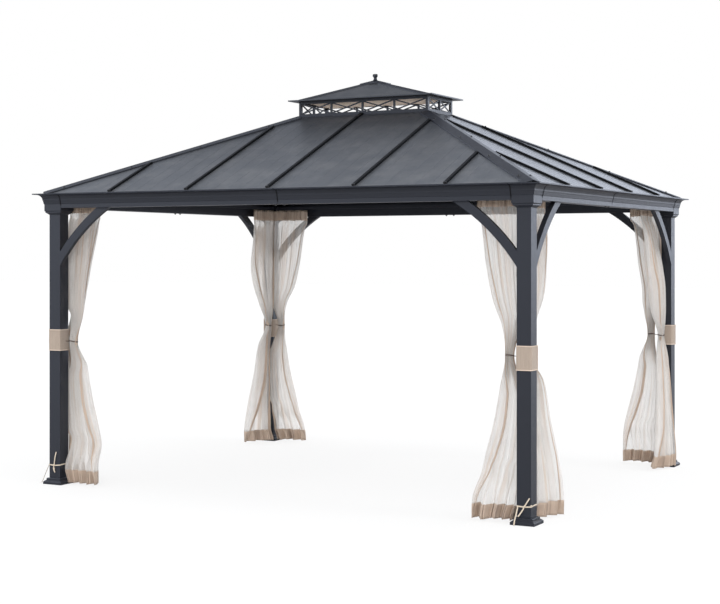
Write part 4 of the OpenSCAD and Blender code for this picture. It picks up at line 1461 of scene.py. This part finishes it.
class GAZEBO_OT_joint_bolts(bpy.types.Operator):
    """Puts the bolts under the beams where the cornice pieces meet"""

    bl_idname = "gazebo.joint_bolts"
    bl_label = "Joint bolts"

    def execute(self, context):
        tree = instance_tree("Joint bolt", [("Radius", 0.008)], screw_shape)
        aside, setback, half_pair = 0.07, 0.092, 0.032
        flip = Matrix(((1, 0, 0), (0, -1, 0), (0, 0, -1)))
        places = []
        for side in SIDES:
            spin, out = side_spin(side), side_reach("fascia_" + side, side)
            middle = aside if side in LONG_SIDES else -aside
            for x in (middle - half_pair, middle + half_pair):
                places.append((spin @ Vector((x, setback - out, FASCIA_LOW)), spin @ flip))
        ride(grow("joint_bolts", turned_points(places), tree, "dark fittings", Radius=0.0095))
        return {"FINISHED"}


# ---- painted joint shadows and finial ----


def fascia_profile(points, across, outward, plane):
    """The outer line of a fascia where it meets a plane, from the bottom up."""
    levels = {}
    for p in points:
        if abs(p[across] - plane) < 0.01:
            levels.setdefault(round(p.z, 4), set()).add(round(p[1 - across] * outward, 4))
    line = []
    for z in sorted(levels):
        outs = sorted(levels[z])
        # The underside of the lip runs out from the cove, and elsewhere the outer face is enough
        for out in outs[-2:] if EAVE - 0.012 < z < EAVE - 0.001 else outs[-1:]:
            place = [0, 0, z]
            place[1 - across] = out * outward
            line.append(Vector(place))
    return line


class GAZEBO_OT_joint_shadow_strips(bpy.types.Operator):
    """Lines the joints of the fascia with dark strips that follow its profile and paint the shadow of
    the joint gaps
    """

    bl_idname = "gazebo.joint_seals"
    bl_label = "Joint shadow strips"

    def execute(self, context):
        width, thickness, stand_off, middle_half = 0.0080, 0.0018, 0.0008, 0.6
        parts = []
        for side in SIDES:
            across = 0 if side in LONG_SIDES else 1
            outward = -1 if side in ("front", "left") else 1
            points = [v.co.copy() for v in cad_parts["fascia_" + side].data.vertices]
            places = [p[across] for p in points]
            # The faces on both sides of the gap in the middle
            planes = sorted({round(place, 4) for place in places if abs(place) < middle_half})
            half_gap = (planes[-1] - planes[0]) / 2
            line = fascia_profile(points, across, outward, planes[0])
            axis = Vector((1 - across, across, 0))
            outside = outward if across == 0 else -outward
            last = len(line) - 1
            normals = [(line[min(k + 1, last)] - line[max(k - 1, 0)]).normalized().cross(axis) * outside
                       for k in range(last + 1)]
            line = [p + normal * stand_off for p, normal in zip(line, normals)]
            for place in ((planes[0] + planes[-1]) / 2, min(places) - half_gap,
                          max(places) + half_gap):
                parts.append(flat_band([p + axis * place for p in line], width, thickness, normals))
        # Dark strips of painted shadow over the joints
        ride(joined_piece("joint_seals", parts, "painted joint shadow"))
        return {"FINISHED"}


# The finial from the bottom up: share of the height, share of the widest radius, depth of the lobes
FINIAL = (
    (0, 0.86, 0), (0.06, 0.84, 0), (0.12, 0.70, 0), (0.22, 0.62, 0), (0.38, 0.60, 0),
    (0.46, 0.66, 0.02), (0.52, 0.82, 0.06), (0.58, 0.95, 0.12), (0.66, 1.0, 0.17),
    (0.78, 1.0, 0.20), (0.86, 0.98, 0.22), (0.92, 0.90, 0.24), (0.96, 0.74, 0.20),
    (0.985, 0.42, 0.10), (1, 0.12, 0),
)
FINIAL_LOBES = 5


class GAZEBO_OT_finial(bpy.types.Operator):
    """Turns the lobed finial on the cupola"""

    bl_idname = "gazebo.finial"
    bl_label = "Finial"

    def execute(self, context):
        low, high = box("finial")
        tall, wide = high.z - low.z, (high.x - low.x) / 2
        rings = []
        for h, r, lobe in FINIAL:
            ring = []
            for a in around(60):
                radius = wide * r * (1 - lobe + lobe * math.cos(FINIAL_LOBES * a))
                ring.append(Vector((radius * math.cos(a), radius * math.sin(a), low.z + tall * h)))
            rings.append(ring)
        piece = new_piece("turned_finial", *ring_mesh(rings), "frame coat")
        face_outwards(piece)
        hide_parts("finial")
        ride(piece)
        return {"FINISHED"}


# ---- the add-on ----

STEPS = (
    GAZEBO_OT_stage, GAZEBO_OT_finishes, GAZEBO_OT_tape_ends, GAZEBO_OT_tape_loops,
    GAZEBO_OT_curtains, GAZEBO_OT_curtain_ties, GAZEBO_OT_cuffs, GAZEBO_OT_vent_net,
    GAZEBO_OT_panel_ribs, GAZEBO_OT_seam_ends, GAZEBO_OT_roof_screws, GAZEBO_OT_curtain_hooks,
    GAZEBO_OT_joint_shadow_strips, GAZEBO_OT_finial, GAZEBO_OT_joint_bolts,
)


class GAZEBO_PT_panel(bpy.types.Panel):
    """Lists the pieces of the gazebo"""

    bl_label = "Gazebo"
    bl_idname = "GAZEBO_PT_panel"
    bl_space_type = "VIEW_3D"
    bl_region_type = "UI"
    bl_category = "Gazebo"

    def draw(self, context):
        for step in STEPS:
            self.layout.operator(step.bl_idname)
        for group in SETTINGS:
            settings = getattr(context.scene, group)
            box_layout = self.layout.box()
            for name in settings.__annotations__:
                box_layout.prop(settings, name)


SETTINGS = {"gazebo_metal": GazeboMetal, "gazebo_cloth": GazeboCloth, "gazebo_stage": GazeboStage}
CLASSES = tuple(SETTINGS.values()) + STEPS + (GAZEBO_PT_panel,)


def register():
    for cls in CLASSES:
        bpy.utils.register_class(cls)
    for name, cls in SETTINGS.items():
        setattr(bpy.types.Scene, name, PointerProperty(type=cls))


def unregister():
    for name in SETTINGS:
        delattr(bpy.types.Scene, name)
    for cls in reversed(CLASSES):
        bpy.utils.unregister_class(cls)


def main():
    register()
    for step in STEPS:
        area, name = step.bl_idname.split(".")
        getattr(getattr(bpy.ops, area), name)()


if __name__ == "__main__":
    main()
